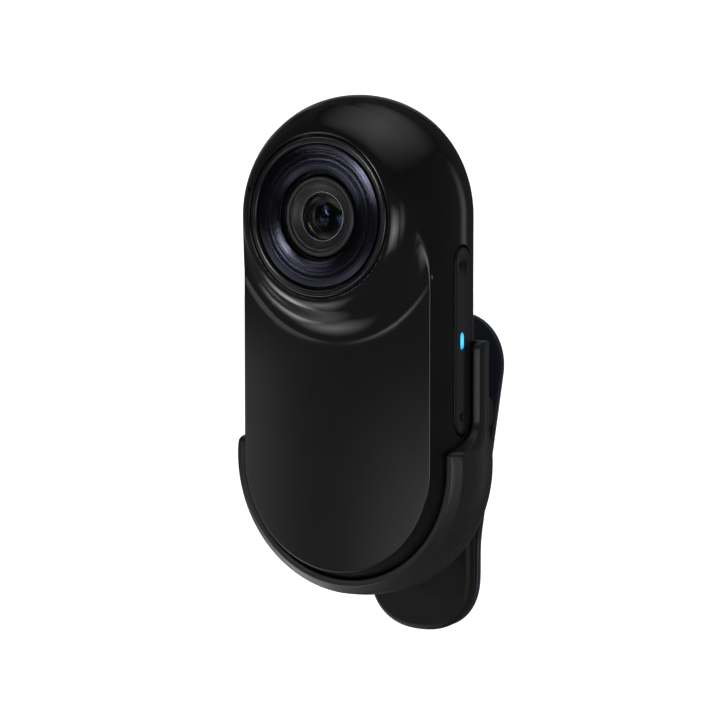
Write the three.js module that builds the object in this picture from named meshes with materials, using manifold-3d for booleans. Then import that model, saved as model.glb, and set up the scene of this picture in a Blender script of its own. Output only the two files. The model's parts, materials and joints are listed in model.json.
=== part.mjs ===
// A wearable thumb camera in a snap-in cradle with a swivelling spring clip on its back.
// Millimetres, +Z up, the lens looks towards -Y. The origin is the clip's grip point, between its jaws.
// Depths are counted backwards from the flat front panel, and heights of the lens head forwards from it.
import * as THREE from "three";
import { mergeVertices } from "three/addons/utils/BufferGeometryUtils.js";
import Module from "manifold-3d";

const wasm = await Module();
wasm.setup();

// ---- Driving dimensions: camera body
const PANEL_Y = -26.6; // the front panel's place
const LOWER_Z = 24; // centre of the body's lower round end
const LENS_Z = LOWER_Z + 37.2; // centre of the upper round end, on the lens axis
const PANEL_R = 16.54; // the round ends at the front panel
const CROWN_R = 18.14; // the round ends where the bulging side walls are widest
const BODY_DEPTH = 11.5;
const HEAD_HEIGHT = 4.9;
const HEAD_TOP_R = 12.05; // the head's flat top, where the bezel sits
const SKIRT_R = 19.4; // where the head runs out into the panel
const SKIRT_FILLET = 5;
const WALL_INNER_R = 15.2;
const COVER_SEAT_R = 16;
const COVER_SEAT_DEPTH = 10.2;
const SCREW_CIRCLE_R = 13.8; // housing screws, about each round end's centre
const SCREW_ANGLE = Math.PI / 5;

// ---- Driving dimensions: keys and port
const SIDE_DEPTH = 6.8; // middle of the key bar and the port cover, on the crest of the side walls
const KEY_Z = LOWER_Z + 18.8;
const KEY_LENGTH = 28;
const KEY_WIDTH = 4.5;
const KEY_THICKNESS = 1;
const POCKET_DEPTH = 1.35;
const SIDE_GAP = 0.28;
const SWITCH_OFFSET = 11.3; // each switch from the key bar's middle
const PORT_Z = LOWER_Z + 26.7;
const PORT_LENGTH = 13.4;
const PORT_HINGE_INSET = 1.3; // the cover's hinge from its lower end
const PORT_HINGE_INSET_DEPTH = 0.55; // and from its outer face
const PORT_PIN_R = 0.4;
const portHingeZ = PORT_Z - PORT_LENGTH / 2 + PORT_HINGE_INSET;

// ---- Driving dimensions: cradle, swivel and clip
const CUP_GAP = 0.35;
const ARM_TOP_Z = LOWER_Z + 18.5;
const SHOULDER_Z = LOWER_Z + 2.8;
const CRADLE_FLOOR = 11.85;
const CRADLE_BACK = 13.3;
const ARM_FRONT = 9.2;
const ARM_INNER_X = 18.6;
const HUB_Z = LOWER_Z;
const HUB_R = 8.8;
const JAW_FRONT = 24.4;
const JAW_BACK = 26.3;
const JAW_HALF_WIDTH = 9.55;
const JAW_LOW_Z = LOWER_Z - 19.6; // centre of the jaw's lower round end
const JAW_SQUARENESS = 2.35;
const JAW_HIGH_Z = LOWER_Z + 7.9;
const HINGE_DEPTH = 29.5;
const HINGE_Z = LOWER_Z + 5.6;
const EAR_R = 2.85;
const PIN_R = 0.75;
const LEVER_TILT = (15.5 * Math.PI) / 180;
const LEVER_BACK = 28.05;
const LEVER_THICKNESS = 1;
const LEVER_BEND_Z = LOWER_Z - 14.5;
const LEVER_HIGH_Z = LOWER_Z + 11.4;

// ---- Materials
function material(color, roughness, metalness = 0) {
  return new THREE.MeshStandardMaterial({ color, roughness, metalness });
}
const shellBlack = material(0x17181a, 0.35);
const cradleBlack = material(0x1c1d1e, 0.7);
const clipBlack = material(0x15171b, 0.45);
const bezelBlack = material(0x08090b, 0.2);
const trimBlue = material(0x1d2740, 0.3, 0.8);
const ringGrey = material(0x2a2b2e, 0.5, 0.5);
const lensGlass = material(0x1b2633, 0.05);
const steel = material(0xb4b6b8, 0.35, 1);
const rubberBlack = material(0x101010, 0.9);
const boardGreen = material(0x1d4a2c, 0.6);
const chipBlack = material(0x1a1a1c, 0.5);
const cellSilver = material(0x8d9094, 0.45, 0.6);
const statusBlue = material(0x2aa8f0, 0.2);
const copperOrange = material(0xb87333, 0.4, 1);
const plasticGrey = material(0x3a3c40, 0.6);

// ---- Placing
const behind = (depth) => PANEL_Y + depth;
const ahead = (height) => PANEL_Y - height;
const HINGE_Y = behind(HINGE_DEPTH);

const group = new THREE.Group();

function add(name, geometry, finish, parent = group) {
  const mesh = new THREE.Mesh(geometry, finish);
  mesh.name = name;
  parent.add(mesh);
  return mesh;
}

// ---- Solids: three.js geometry in and out of the joining and cutting library
function solid(geometry) {
  const bare = geometry.clone();
  bare.deleteAttribute("normal");
  bare.deleteAttribute("uv");
  const merged = mergeVertices(bare, 1e-4);
  const triVerts = new Uint32Array(merged.index.array);
  const vertProperties = merged.attributes.position.array;
  return new wasm.Manifold(new wasm.Mesh({ numProp: 3, vertProperties, triVerts }));
}

function geometryOf(body) {
  const mesh = body.getMesh();
  const geometry = new THREE.BufferGeometry();
  geometry.setAttribute("position", new THREE.BufferAttribute(mesh.vertProperties, 3));
  geometry.setIndex(new THREE.BufferAttribute(mesh.triVerts, 1));
  geometry.computeVertexNormals();
  return geometry;
}

// An upright outline with a round lower and a round upper end, as [x, z] points, counter-clockwise from
// ahead. A lower squareness above 2 fills the lower end's corners a little.
function roundEnded(radius, lowZ, highZ, steps, squareness) {
  const points = [];
  const power = 2 / squareness;
  for (let i = 0; i <= steps; i += 1) {
    const angle = Math.PI * (1 + i / steps);
    const across = Math.sign(Math.cos(angle)) * Math.abs(Math.cos(angle)) ** power;
    points.push([radius * across, lowZ - radius * Math.abs(Math.sin(angle)) ** power]);
  }
  for (let i = 0; i <= steps; i += 1) {
    const angle = (Math.PI * i) / steps;
    points.push([radius * Math.cos(angle), highZ + radius * Math.sin(angle)]);
  }
  return points;
}

// Round-ended outlines stacked from front to back, each ring as [radius, y], closed at both ends.
function lofted(rings, lowZ, highZ, steps = 12, squareness = 2) {
  const outlines = rings.map(([radius]) => roundEnded(radius, lowZ, highZ, steps, squareness));
  const count = outlines[0].length;
  const positions = [];
  outlines.forEach((outline, ring) => {
    outline.forEach(([x, z]) => positions.push(x, rings[ring][1], z));
  });
  const middleZ = (lowZ + highZ) / 2;
  const frontCentre = positions.length / 3;
  positions.push(0, rings[0][1], middleZ);
  positions.push(0, rings[rings.length - 1][1], middleZ);
  const index = [];
  const lastRing = (rings.length - 1) * count;
  for (let k = 0; k < count; k += 1) {
    const next = (k + 1) % count;
    for (let ring = 0; ring < rings.length - 1; ring += 1) {
      const a = ring * count + k;
      const b = ring * count + next;
      index.push(a, a + count, b + count, a, b + count, b);
    }
    index.push(frontCentre, k, next);
    index.push(frontCentre + 1, lastRing + next, lastRing + k);
  }
  const geometry = new THREE.BufferGeometry();
  geometry.setAttribute("position", new THREE.Float32BufferAttribute(positions, 3));
  geometry.setIndex(index);
  return geometry;
}

// A profile of [radius, height ahead of the panel] turned about the lens axis.
function turned(profile, segments = 40) {
  const points = profile.map(([radius, height]) => new THREE.Vector2(radius, ahead(height)));
  return new THREE.LatheGeometry(points, segments, Math.PI / 2).translate(0, 0, LENS_Z);
}

// A ring about the lens axis from its section's corners, which close on themselves.
const turnedRing = (section, segments = 40) => turned([...section, section[0]], segments);

function box(lowX, highX, lowY, highY, lowZ, highZ) {
  const size = [highX - lowX, highY - lowY, highZ - lowZ];
  const middle = [(lowX + highX) / 2, (lowY + highY) / 2, (lowZ + highZ) / 2];
  return new THREE.BoxGeometry(...size).translate(...middle);
}

function rodAlongX(radius, lowX, highX, y, z, segments = 16) {
  const rod = new THREE.CylinderGeometry(radius, radius, highX - lowX, segments);
  return rod.rotateZ(Math.PI / 2).translate((lowX + highX) / 2, y, z);
}

function rodAlongY(radius, lowY, highY, x, z, segments = 20) {
  const rod = new THREE.CylinderGeometry(radius, radius, highY - lowY, segments);
  return rod.translate(x, (lowY + highY) / 2, z);
}

// A pill-shaped plate on a side wall: side is 1 on the right and -1 on the left. Its outer face lies
// proud of the wall by lift, and its thickness runs inwards.
function sidePill(side, length, width, centreZ, thickness, lift = 0, steps = 8) {
  const reach = length / 2 - width / 2;
  const pill = lofted([[width / 2, -lift], [width / 2, thickness - lift]], -reach, reach, steps);
  return onSideWall(pill, side, centreZ);
}

// Turns a shape that faces -Y onto the crest of a side wall.
function onSideWall(geometry, side, centreZ) {
  return geometry.rotateZ((side * Math.PI) / 2).translate(side * CROWN_R, behind(SIDE_DEPTH), centreZ);
}

// ---- Camera body
// The head's shoulder, from its flat top out to the panel's edge.
const headCurve = new THREE.CubicBezierCurve(
  new THREE.Vector2(HEAD_TOP_R, HEAD_HEIGHT),
  new THREE.Vector2(13.6, HEAD_HEIGHT),
  new THREE.Vector2(15.55, 1.75),
  new THREE.Vector2(PANEL_R, 0),
);
const headProfile = headCurve.getPoints(8).map((point) => [point.x, point.y]);

// The head's hollow foot, an arc that runs out into the panel.
function skirtProfile() {
  const upper = headProfile.filter(([, height]) => height > 2.3);
  const fillet = [];
  for (let i = 0; i <= 6; i += 1) {
    const angle = (1 - i / 6) * 0.97;
    const radius = SKIRT_R - SKIRT_FILLET * Math.sin(angle);
    fillet.push([radius, SKIRT_FILLET * (1 - Math.cos(angle))]);
  }
  return [...upper, ...fillet];
}

const screwPlaces = [
  [LOWER_Z, -SCREW_ANGLE],
  [LOWER_Z, Math.PI + SCREW_ANGLE],
  [LENS_Z, SCREW_ANGLE],
  [LENS_Z, Math.PI - SCREW_ANGLE],
].map(([centreZ, angle]) => {
  const up = SCREW_CIRCLE_R * Math.sin(angle);
  return [SCREW_CIRCLE_R * Math.cos(angle), centreZ + up];
});

function bodyOutside() {
  const proud = 0.1; // keeps the loft just outside the turned head, which then gives the surface
  const dome = headProfile.map(([radius, height]) => {
    const edge = height > 2.2 ? radius + proud : radius;
    return [edge, ahead(height)];
  });
  const front = [[17.25, behind(1.7)], [17.76, behind(3.35)], [18.03, behind(5)]];
  const crest = [[CROWN_R, behind(SIDE_DEPTH)], [18.05, behind(8.5)], [17.81, behind(9.95)]];
  const back = [[17.58, behind(10.8)], [17.36, behind(11.25)], [17, behind(BODY_DEPTH)]];
  const walls = [...front, ...crest, ...back];
  const loaf = lofted([...dome, ...walls], LOWER_Z, LENS_Z, 20);
  const reach = 60;
  const skirt = turned([[0, HEAD_HEIGHT], ...skirtProfile(), [reach, 0], [reach, -20], [0, -20]]);
  return solid(loaf).intersect(solid(skirt));
}

function bodyHollow() {
  const room = [[WALL_INNER_R, behind(1.3)], [WALL_INNER_R, behind(COVER_SEAT_DEPTH + 0.1)]];
  const seat = [[COVER_SEAT_R, behind(COVER_SEAT_DEPTH)], [COVER_SEAT_R, behind(BODY_DEPTH + 1)]];
  const groove = [[15.85, behind(COVER_SEAT_DEPTH - 0.5)], [15.85, behind(COVER_SEAT_DEPTH + 0.1)]];
  const head = [[0, 2.9], [12.3, 2.9], [14.6, 0], [14.6, -2], [0, -2]];
  const opening = [[0, 6], [12.15, 6], [12.15, 3.75], [6.3, 3.75], [6.3, 2], [0, 2]];
  return [
    lofted(room, LOWER_Z, LENS_Z, 20),
    lofted(seat, LOWER_Z, LENS_Z, 20),
    lofted(groove, LOWER_Z, LENS_Z, 20),
    turned(head),
    turned(opening),
  ].map(solid);
}

// A rod through the port cover's hinge line, at right angles to the lens axis.
function hingeRod(radius, halfLength, segments) {
  const rod = rodAlongX(radius, -halfLength, halfLength, PORT_HINGE_INSET_DEPTH, 0, segments);
  return onSideWall(rod, -1, portHingeZ);
}

// The pocket that a side plate lies in, with the gap all round it.
function sidePocket(side, length, centreZ) {
  return sidePill(side, length + 2 * SIDE_GAP, KEY_WIDTH + 2 * SIDE_GAP, centreZ, POCKET_DEPTH + 3, 3);
}

function sideCuts() {
  const y = behind(SIDE_DEPTH);
  const microphoneHole = rodAlongY(0.35, ahead(6), ahead(-1), -12.3, LENS_Z + 4, 10);
  const lightHole = box(12, 19, y - 1, y + 1, KEY_Z - 1.55, KEY_Z + 1.55);
  const socketHole = box(-19, -12, y - 1.9, y + 1.9, PORT_Z - 4.7, PORT_Z + 4.7);
  const plungerHoles = [-1, 1].map((way) => rodAlongX(1, 13, 19, y, KEY_Z + way * SWITCH_OFFSET, 14));
  return [
    microphoneHole,
    sidePocket(1, KEY_LENGTH, KEY_Z),
    sidePocket(-1, PORT_LENGTH, PORT_Z),
    lightHole,
    socketHole,
    hingeRod(1.75, 2.5, 16),
    hingeRod(PORT_PIN_R + 0.05, 3, 10),
    ...plungerHoles,
  ].map(solid);
}

function frontShell() {
  let shell = bodyOutside();
  for (const hollow of bodyHollow()) shell = shell.subtract(hollow);
  for (const [x, z] of screwPlaces) {
    shell = shell.add(solid(rodAlongY(1.9, behind(0.8), behind(9.6), x, z, 14)));
  }
  for (const [x, z] of screwPlaces) {
    shell = shell.subtract(solid(rodAlongY(0.95, behind(3.5), behind(12), x, z, 12)));
  }
  for (const cut of sideCuts()) shell = shell.subtract(cut);
  return geometryOf(shell);
}

function rearCover() {
  const rings = [[15.72, behind(10.45)], [15.72, behind(11.2)], [15.5, behind(11.45)]];
  let plate = solid(lofted(rings, LOWER_Z, LENS_Z, 20));
  for (const [x, z] of screwPlaces) {
    plate = plate.subtract(solid(rodAlongY(1, behind(10), behind(12), x, z, 14)));
    plate = plate.subtract(solid(rodAlongY(1.75, behind(10.85), behind(12), x, z, 16)));
  }
  return geometryOf(plate);
}

function shellSeal() {
  const outer = [[15.75, behind(9.85)], [15.75, behind(10.25)]];
  const inner = [[15.4, behind(9)], [15.4, behind(11)]];
  return geometryOf(solid(lofted(outer, LOWER_Z, LENS_Z)).subtract(solid(lofted(inner, LOWER_Z, LENS_Z))));
}

// A pan-head screw of the given sizes, with its head's face at headY and its shaft pointing forwards.
function screw(headR, headY, headHeight, shaftR, tipY, x, z) {
  const neckY = headY - headHeight;
  const profile = [[0, tipY], [shaftR, tipY], [shaftR, neckY], [headR, neckY], [headR, headY], [0, headY]];
  const points = profile.map(([radius, y]) => new THREE.Vector2(radius, y));
  return new THREE.LatheGeometry(points, 14).translate(x, 0, z);
}

function buildHousing() {
  add("front_shell", frontShell(), shellBlack);
  add("rear_cover", rearCover(), shellBlack);
  add("shell_seal", shellSeal(), rubberBlack);
  screwPlaces.forEach(([x, z], i) => {
    add("housing_screw_" + (i + 1), screw(1.45, behind(11.4), 0.4, 0.65, behind(4.5), x, z), steel);
  });
}

// ---- Lens
function buildLensFace() {
  const bezel = [[10.85, 4.9], [11, 5], [11.7, 5], [11.9, 4.8], [11.9, 4.05], [10.85, 4.05]];
  add("lens_bezel", turnedRing(bezel), bezelBlack);
  const trim = [[6.65, 4.6], [7.6, 4.86], [9.6, 4.86], [10.55, 4.7], [10.55, 4.05], [6.65, 4.05]];
  add("trim_ring", turnedRing(trim), trimBlue);
  const flange = [[3.75, 3.6], [4, 3.6], [4.8, 4.1], [5.1, 4.1], [5.3, 4.35], [5.8, 4.35]];
  add("lens_front_ring", turnedRing([...flange, [5.95, 4.2], [5.95, 2.1], [3.75, 2.1]], 32), ringGrey);
  const dome = [[0, 3.95], [1.2, 3.88], [2.3, 3.66], [3.1, 3.35], [3.45, 3.1], [3.45, 2.3], [0, 2.3]];
  add("front_lens", turned(dome, 24), lensGlass);
}

function buildLensInside() {
  const tube = [[4.1, 1.8], [5.6, 1.8], [5.6, -6.4], [4.1, -6.4]];
  add("lens_barrel", turnedRing(tube, 28), bezelBlack);
  const inner = [[0, -0.6], [2, -0.75], [3.8, -1.3], [3.8, -2.3], [0, -2.3]];
  add("inner_lens", turned(inner, 20), lensGlass);
  const rear = [[0, -3.8], [2, -3.9], [3.8, -4.3], [3.8, -5.2], [2, -5.6], [0, -5.7]];
  add("rear_lens", turned(rear, 20), lensGlass);
  const holder = solid(box(-6.5, 6.5, behind(6.7), behind(8.75), LENS_Z - 6.5, LENS_Z + 6.5));
  const well = solid(box(-4.3, 4.3, behind(6), behind(9), LENS_Z - 3.7, LENS_Z + 3.7));
  add("lens_holder", geometryOf(holder.subtract(well)), plasticGrey);
  const filter = box(-3.6, 3.6, behind(6.8), behind(7.2), LENS_Z - 3, LENS_Z + 3);
  add("infrared_filter", filter, lensGlass);
  add("image_sensor", box(-3.9, 3.9, behind(7.6), behind(8.7), LENS_Z - 3.3, LENS_Z + 3.3), chipBlack);
  add("sensor_board", box(-6.5, 6.5, behind(8.9), behind(9.6), LENS_Z - 6.5, LENS_Z + 6.5), boardGreen);
  const ribbon = box(-3, 3, behind(9.75), behind(9.95), LENS_Z - 5.5, LENS_Z - 3);
  add("sensor_ribbon", ribbon, copperOrange);
}

// ---- Electronics
function mainBoard() {
  const edge = 13.2;
  const outline = new THREE.Shape();
  outline.absarc(0, 0, edge, Math.PI, 2 * Math.PI, false);
  outline.lineTo(edge, 29.8);
  outline.lineTo(-edge, 29.8);
  const sheet = new THREE.ExtrudeGeometry(outline, { depth: 0.8, bevelEnabled: false, curveSegments: 20 });
  sheet.rotateX(Math.PI / 2).translate(0, behind(10.1), LOWER_Z);
  let board = solid(sheet);
  for (const [x, z] of screwPlaces) {
    board = board.subtract(solid(rodAlongY(2.3, behind(9), behind(11), x, z, 14)));
  }
  return geometryOf(board);
}

function chargingSocket() {
  const y = behind(SIDE_DEPTH);
  const can = solid(box(-16.3, -9.2, y - 1.5, y + 1.5, PORT_Z - 4.45, PORT_Z + 4.45));
  const mouth = solid(box(-17, -10, y - 1.2, y + 1.2, PORT_Z - 4.1, PORT_Z + 4.1));
  const tongue = solid(box(-15.7, -9.8, y - 0.3, y + 0.3, PORT_Z - 3.3, PORT_Z + 3.3));
  return geometryOf(can.subtract(mouth).add(tongue));
}

function buildElectronics() {
  add("main_board", mainBoard(), boardGreen);
  add("processor_chip", box(-4.5, 4.5, behind(8.2), behind(9.2), LOWER_Z + 4, LOWER_Z + 13), chipBlack);
  add("memory_chip", box(-4, 4, behind(8.3), behind(9.2), LOWER_Z - 7, LOWER_Z - 1), chipBlack);
  add("heat_spreader", box(-10, 10, behind(7.7), behind(8), LOWER_Z - 5, LOWER_Z + 17), copperOrange);
  add("battery_tray", box(-11.5, 11.5, behind(7), behind(7.4), LOWER_Z - 5.6, LOWER_Z + 18.2), plasticGrey);
  add("battery_cell", box(-11, 11, behind(1.7), behind(6.7), LOWER_Z - 5.4, LOWER_Z + 18), cellSilver);
  add("charging_socket", chargingSocket(), steel);
  add("buzzer", rodAlongY(4, behind(6.4), behind(9), 7, LOWER_Z + 25), chipBlack);
  add("microphone", box(-11.6, -8.6, ahead(1.7), ahead(0.7), LENS_Z + 2.5, LENS_Z + 5), chipBlack);
}

// ---- Side keys
function switchUnder(way) {
  const z = KEY_Z + way * SWITCH_OFFSET;
  const y = behind(SIDE_DEPTH);
  const can = solid(box(14.3, 15.2, y - 1.7, y + 1.7, z - 1.7, z + 1.7));
  return geometryOf(can.add(solid(rodAlongX(0.7, 15.1, 16.8, y, z, 12))));
}

function keyBar() {
  const bar = solid(sidePill(1, KEY_LENGTH, KEY_WIDTH, KEY_Z, KEY_THICKNESS));
  const y = behind(SIDE_DEPTH);
  const window = solid(box(14, 20, y - 0.95, y + 0.95, KEY_Z - 1.65, KEY_Z + 1.65));
  const dimple = solid(onSideWall(rodAlongY(0.9, -1, 0.25, 0, 0, 14), 1, KEY_Z + SWITCH_OFFSET));
  const nub = solid(onSideWall(rodAlongY(0.55, -0.2, 0.5, 0, 0, 12), 1, KEY_Z - SWITCH_OFFSET));
  return geometryOf(bar.subtract(window).subtract(dimple).add(nub));
}

function buildKeys() {
  add("key_board", box(13.5, 14.15, behind(4.9), behind(8.7), KEY_Z - 13.5, KEY_Z + 13.5), boardGreen);
  add("upper_switch", switchUnder(1), steel);
  add("lower_switch", switchUnder(-1), steel);
  const y = behind(SIDE_DEPTH);
  add("status_light", box(14.3, 14.9, y - 0.5, y + 0.5, KEY_Z - 0.9, KEY_Z + 0.9), statusBlue);
  const pipe = lofted([[0.6, 0.1], [0.6, 2.9]], -0.7, 0.7, 8);
  add("light_pipe", onSideWall(pipe, 1, KEY_Z), statusBlue);
  add("key_bar", keyBar(), shellBlack);
}

// ---- Charging port
function portCover() {
  const cover = solid(sidePill(-1, PORT_LENGTH, KEY_WIDTH, PORT_Z, KEY_THICKNESS + 0.1));
  return geometryOf(cover.subtract(solid(hingeRod(PORT_PIN_R + 0.1, 4, 12))));
}

function buildPort() {
  add("port_cover", portCover(), shellBlack);
  add("port_hinge_pin", hingeRod(PORT_PIN_R, 2.8, 10), steel);
}

// ---- Cradle
// The cradle from the side, as [depth, z]: a low cup in front, and arms that stand at its back edges.
function cradleSideOutline() {
  const outline = new THREE.Shape();
  outline.moveTo(0, LOWER_Z - 30);
  outline.lineTo(0, SHOULDER_Z);
  outline.lineTo(4.2, SHOULDER_Z);
  outline.quadraticCurveTo(ARM_FRONT - 1.2, SHOULDER_Z, ARM_FRONT, SHOULDER_Z + 4);
  outline.lineTo(ARM_FRONT, ARM_TOP_Z - 1.2);
  outline.quadraticCurveTo(ARM_FRONT, ARM_TOP_Z, ARM_FRONT + 1.2, ARM_TOP_Z);
  outline.lineTo(20, ARM_TOP_Z);
  outline.lineTo(20, LOWER_Z - 30);
  const wide = 60;
  const block = new THREE.ExtrudeGeometry(outline, { depth: wide, bevelEnabled: false, curveSegments: 6 });
  return block.translate(PANEL_Y, 0, 0).applyMatrix4(sideToWorld(wide));
}

// Carries a side view drawn as (y, z) and extruded along +Z to its place across the object's width.
function sideToWorld(width) {
  const basis = new THREE.Matrix4().makeBasis(
    new THREE.Vector3(0, 1, 0),
    new THREE.Vector3(0, 0, 1),
    new THREE.Vector3(1, 0, 0),
  );
  return new THREE.Matrix4().makeTranslation(-width / 2, 0, 0).multiply(basis);
}

function cradleOutside() {
  const rim = [[18.9, 2.2], [19.7, 2.5], [20.2, 3.4]];
  const cup = [...rim, [20.8, 6], [20.85, 9.3], [20.5, 11.6], [20, 12.7], [19, CRADLE_BACK]];
  const armFront = [[18.6, 9], [19.4, 9.2], [19.75, 10]];
  const arms = [...armFront, [19.75, 12.1], [19.4, 12.95], [18.7, CRADLE_BACK]];
  const place = (rings) => rings.map(([radius, depth]) => [radius, behind(depth)]);
  const highZ = LOWER_Z + 40;
  const low = solid(lofted(place(cup), LOWER_Z, highZ, 18));
  const lowOnly = solid(box(-30, 30, behind(0), behind(20), LOWER_Z - 30, SHOULDER_Z + 1.2));
  const high = solid(lofted(place(arms), LOWER_Z, highZ, 18));
  return low.intersect(lowOnly).add(high).intersect(solid(cradleSideOutline()));
}

function cradleShell() {
  const camera = [
    [PANEL_R + CUP_GAP, behind(-1)],
    [PANEL_R + CUP_GAP, behind(0)],
    [17.45 + CUP_GAP, behind(2.2)],
    [18.03 + CUP_GAP, behind(5)],
    [CROWN_R + CUP_GAP, behind(SIDE_DEPTH)],
    [CROWN_R + CUP_GAP, behind(CRADLE_FLOOR)],
  ];
  const highZ = LOWER_Z + 70;
  const armRoom = [[ARM_INNER_X, behind(-1)], [ARM_INNER_X, behind(CRADLE_FLOOR)]];
  let shell = cradleOutside().subtract(solid(lofted(camera, LOWER_Z, highZ, 18)));
  shell = shell.subtract(solid(lofted(armRoom, SHOULDER_Z + ARM_INNER_X - 0.5, highZ, 18)));
  for (const side of [-1, 1]) {
    const rib = rodAlongZ(0.5, ARM_TOP_Z - 7, ARM_TOP_Z - 2, side * (ARM_INNER_X + 0.15), behind(11));
    shell = shell.add(solid(rib));
  }
  shell = shell.add(solid(rodAlongY(HUB_R - 0.2, behind(CRADLE_BACK - 0.5), behind(15), 0, HUB_Z, 28)));
  return geometryOf(shell.subtract(solid(rodAlongY(1.8, behind(10), behind(16), 0, HUB_Z, 14))));
}

function rodAlongZ(radius, lowZ, highZ, x, y) {
  const rod = new THREE.CylinderGeometry(radius, radius, highZ - lowZ, 10);
  return rod.rotateX(Math.PI / 2).translate(x, y, (lowZ + highZ) / 2);
}

// A flat ring about the swivel's axis.
function swivelRing(innerR, outerR, frontDepth, backDepth) {
  const outer = solid(rodAlongY(outerR, behind(frontDepth), behind(backDepth), 0, HUB_Z, 24));
  const inner = solid(rodAlongY(innerR, behind(frontDepth - 1), behind(backDepth + 1), 0, HUB_Z, 16));
  return geometryOf(outer.subtract(inner));
}

function buildCradle() {
  add("cradle_shell", cradleShell(), cradleBlack);
  add("swivel_disc", swivelRing(2.6, 8, 15.3, 15.9), plasticGrey);
  add("swivel_washer", swivelRing(1.8, 3.2, 21.8, 22.2), steel);
  add("swivel_screw", screw(3.1, behind(24.1), 1.6, 1.45, behind(12.6), 0, HUB_Z), steel);
}

// ---- Clip
function jawPlate() {
  const front = [[JAW_HALF_WIDTH - 1.2, 0], [JAW_HALF_WIDTH - 0.45, 0.2], [JAW_HALF_WIDTH - 0.1, 0.65]];
  const side = [[JAW_HALF_WIDTH, 1.2], [JAW_HALF_WIDTH, JAW_BACK - JAW_FRONT]];
  const rings = [...front, ...side].map(([radius, depth]) => [radius, behind(JAW_FRONT + depth)]);
  return solid(lofted(rings, JAW_LOW_Z, JAW_HIGH_Z, 16, JAW_SQUARENESS));
}

// A lug that carries the hinge pin: a round end about the pin, and a root that runs forwards to rootDepth.
function hingeLug(side, lowX, highX, radius, lowDepth, highDepth) {
  const [from, to] = side > 0 ? [lowX, highX] : [-highX, -lowX];
  const round = solid(rodAlongX(radius, from, to, behind(HINGE_DEPTH), HINGE_Z, 20));
  const root = box(from, to, behind(lowDepth), behind(highDepth), HINGE_Z - radius, HINGE_Z + radius);
  return round.add(solid(root));
}

const pinBore = () => solid(rodAlongX(PIN_R + 0.1, -12, 12, behind(HINGE_DEPTH), HINGE_Z, 16));

function frontJaw() {
  let jaw = jawPlate();
  jaw = jaw.add(solid(rodAlongY(HUB_R, behind(16.2), behind(JAW_FRONT + 0.3), 0, HUB_Z, 28)));
  for (const side of [-1, 1]) {
    jaw = jaw.add(hingeLug(side, 7.75, 9.4, EAR_R, JAW_BACK - 0.3, HINGE_DEPTH));
  }
  jaw = jaw.subtract(pinBore());
  jaw = jaw.subtract(solid(rodAlongY(1.9, behind(15), behind(27), 0, HUB_Z, 16)));
  jaw = jaw.subtract(solid(rodAlongY(3.6, behind(21.5), behind(27), 0, HUB_Z, 20)));
  const padRecess = box(-6.3, 6.3, behind(25.4), behind(27), JAW_LOW_Z - 4.3, JAW_LOW_Z + 2.3);
  return geometryOf(jaw.subtract(solid(padRecess)));
}

// The lever from the side, as [depth, z]: an upright lower jaw, and a finger plate that leans back.
function leverSideOutline() {
  const rise = 60;
  const run = rise * Math.tan(LEVER_TILT);
  const slantThickness = LEVER_THICKNESS / Math.cos(LEVER_TILT);
  const outline = new THREE.Shape();
  outline.moveTo(LEVER_BACK, LOWER_Z - 32);
  outline.lineTo(LEVER_BACK, LEVER_BEND_Z);
  outline.lineTo(LEVER_BACK + run, LEVER_BEND_Z + rise);
  outline.lineTo(LEVER_BACK + run - slantThickness, LEVER_BEND_Z + rise);
  outline.lineTo(LEVER_BACK - slantThickness, LEVER_BEND_Z);
  outline.lineTo(LEVER_BACK - 1.2, LEVER_BEND_Z - 0.8);
  outline.lineTo(LEVER_BACK - 1.2, LOWER_Z - 32);
  const wide = 40;
  const block = new THREE.ExtrudeGeometry(outline, { depth: wide, bevelEnabled: false });
  return block.translate(PANEL_Y, 0, 0).applyMatrix4(sideToWorld(wide));
}

function clipLever() {
  const rings = [[JAW_HALF_WIDTH, behind(20)], [JAW_HALF_WIDTH, behind(45)]];
  let lever = solid(lofted(rings, JAW_LOW_Z + 0.1, LEVER_HIGH_Z, 20, JAW_SQUARENESS));
  lever = lever.intersect(solid(leverSideOutline()));
  for (const side of [-1, 1]) {
    lever = lever.add(hingeLug(side, 5.9, 7.45, 2.3, HINGE_DEPTH, 32.6));
  }
  return geometryOf(lever.subtract(pinBore()));
}

// The wire's line: a leg that rests on the jaw, then six turns about the hinge pin.
function springPath() {
  const coilR = 1.75;
  const turns = 6;
  const steps = 84;
  const points = [new THREE.Vector3(-4.6, HINGE_Y - coilR, HINGE_Z + 5)];
  for (let i = 0; i <= steps; i += 1) {
    const angle = Math.PI + (2 * Math.PI * turns * i) / steps;
    const x = -4.4 + (8.8 * i) / steps;
    const y = HINGE_Y + coilR * Math.cos(angle);
    points.push(new THREE.Vector3(x, y, HINGE_Z + coilR * Math.sin(angle)));
  }
  return points;
}

function torsionSpring() {
  const path = new THREE.CatmullRomCurve3(springPath());
  const section = new THREE.Shape();
  section.absarc(0, 0, 0.3, 0, 2 * Math.PI, false);
  return new THREE.ExtrudeGeometry(section, { steps: 96, extrudePath: path, curveSegments: 3 });
}

function buildClip() {
  add("front_jaw", frontJaw(), clipBlack);
  add("grip_pad", box(-6, 6, behind(25.7), behind(26.5), JAW_LOW_Z - 4, JAW_LOW_Z + 2), rubberBlack);
  add("hinge_pin", rodAlongX(PIN_R, -9.3, 9.3, HINGE_Y, HINGE_Z), steel);
  add("torsion_spring", torsionSpring(), steel);
  add("clip_lever", clipLever(), clipBlack);
}

buildHousing();
buildLensFace();
buildLensInside();
buildElectronics();
buildKeys();
buildPort();
buildCradle();
buildClip();

export default group;
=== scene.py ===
"""Looks of a wearable thumb camera in its cradle, with a swivelling spring clip.

The pieces are built round the object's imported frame.
"""

import json
import math

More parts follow.
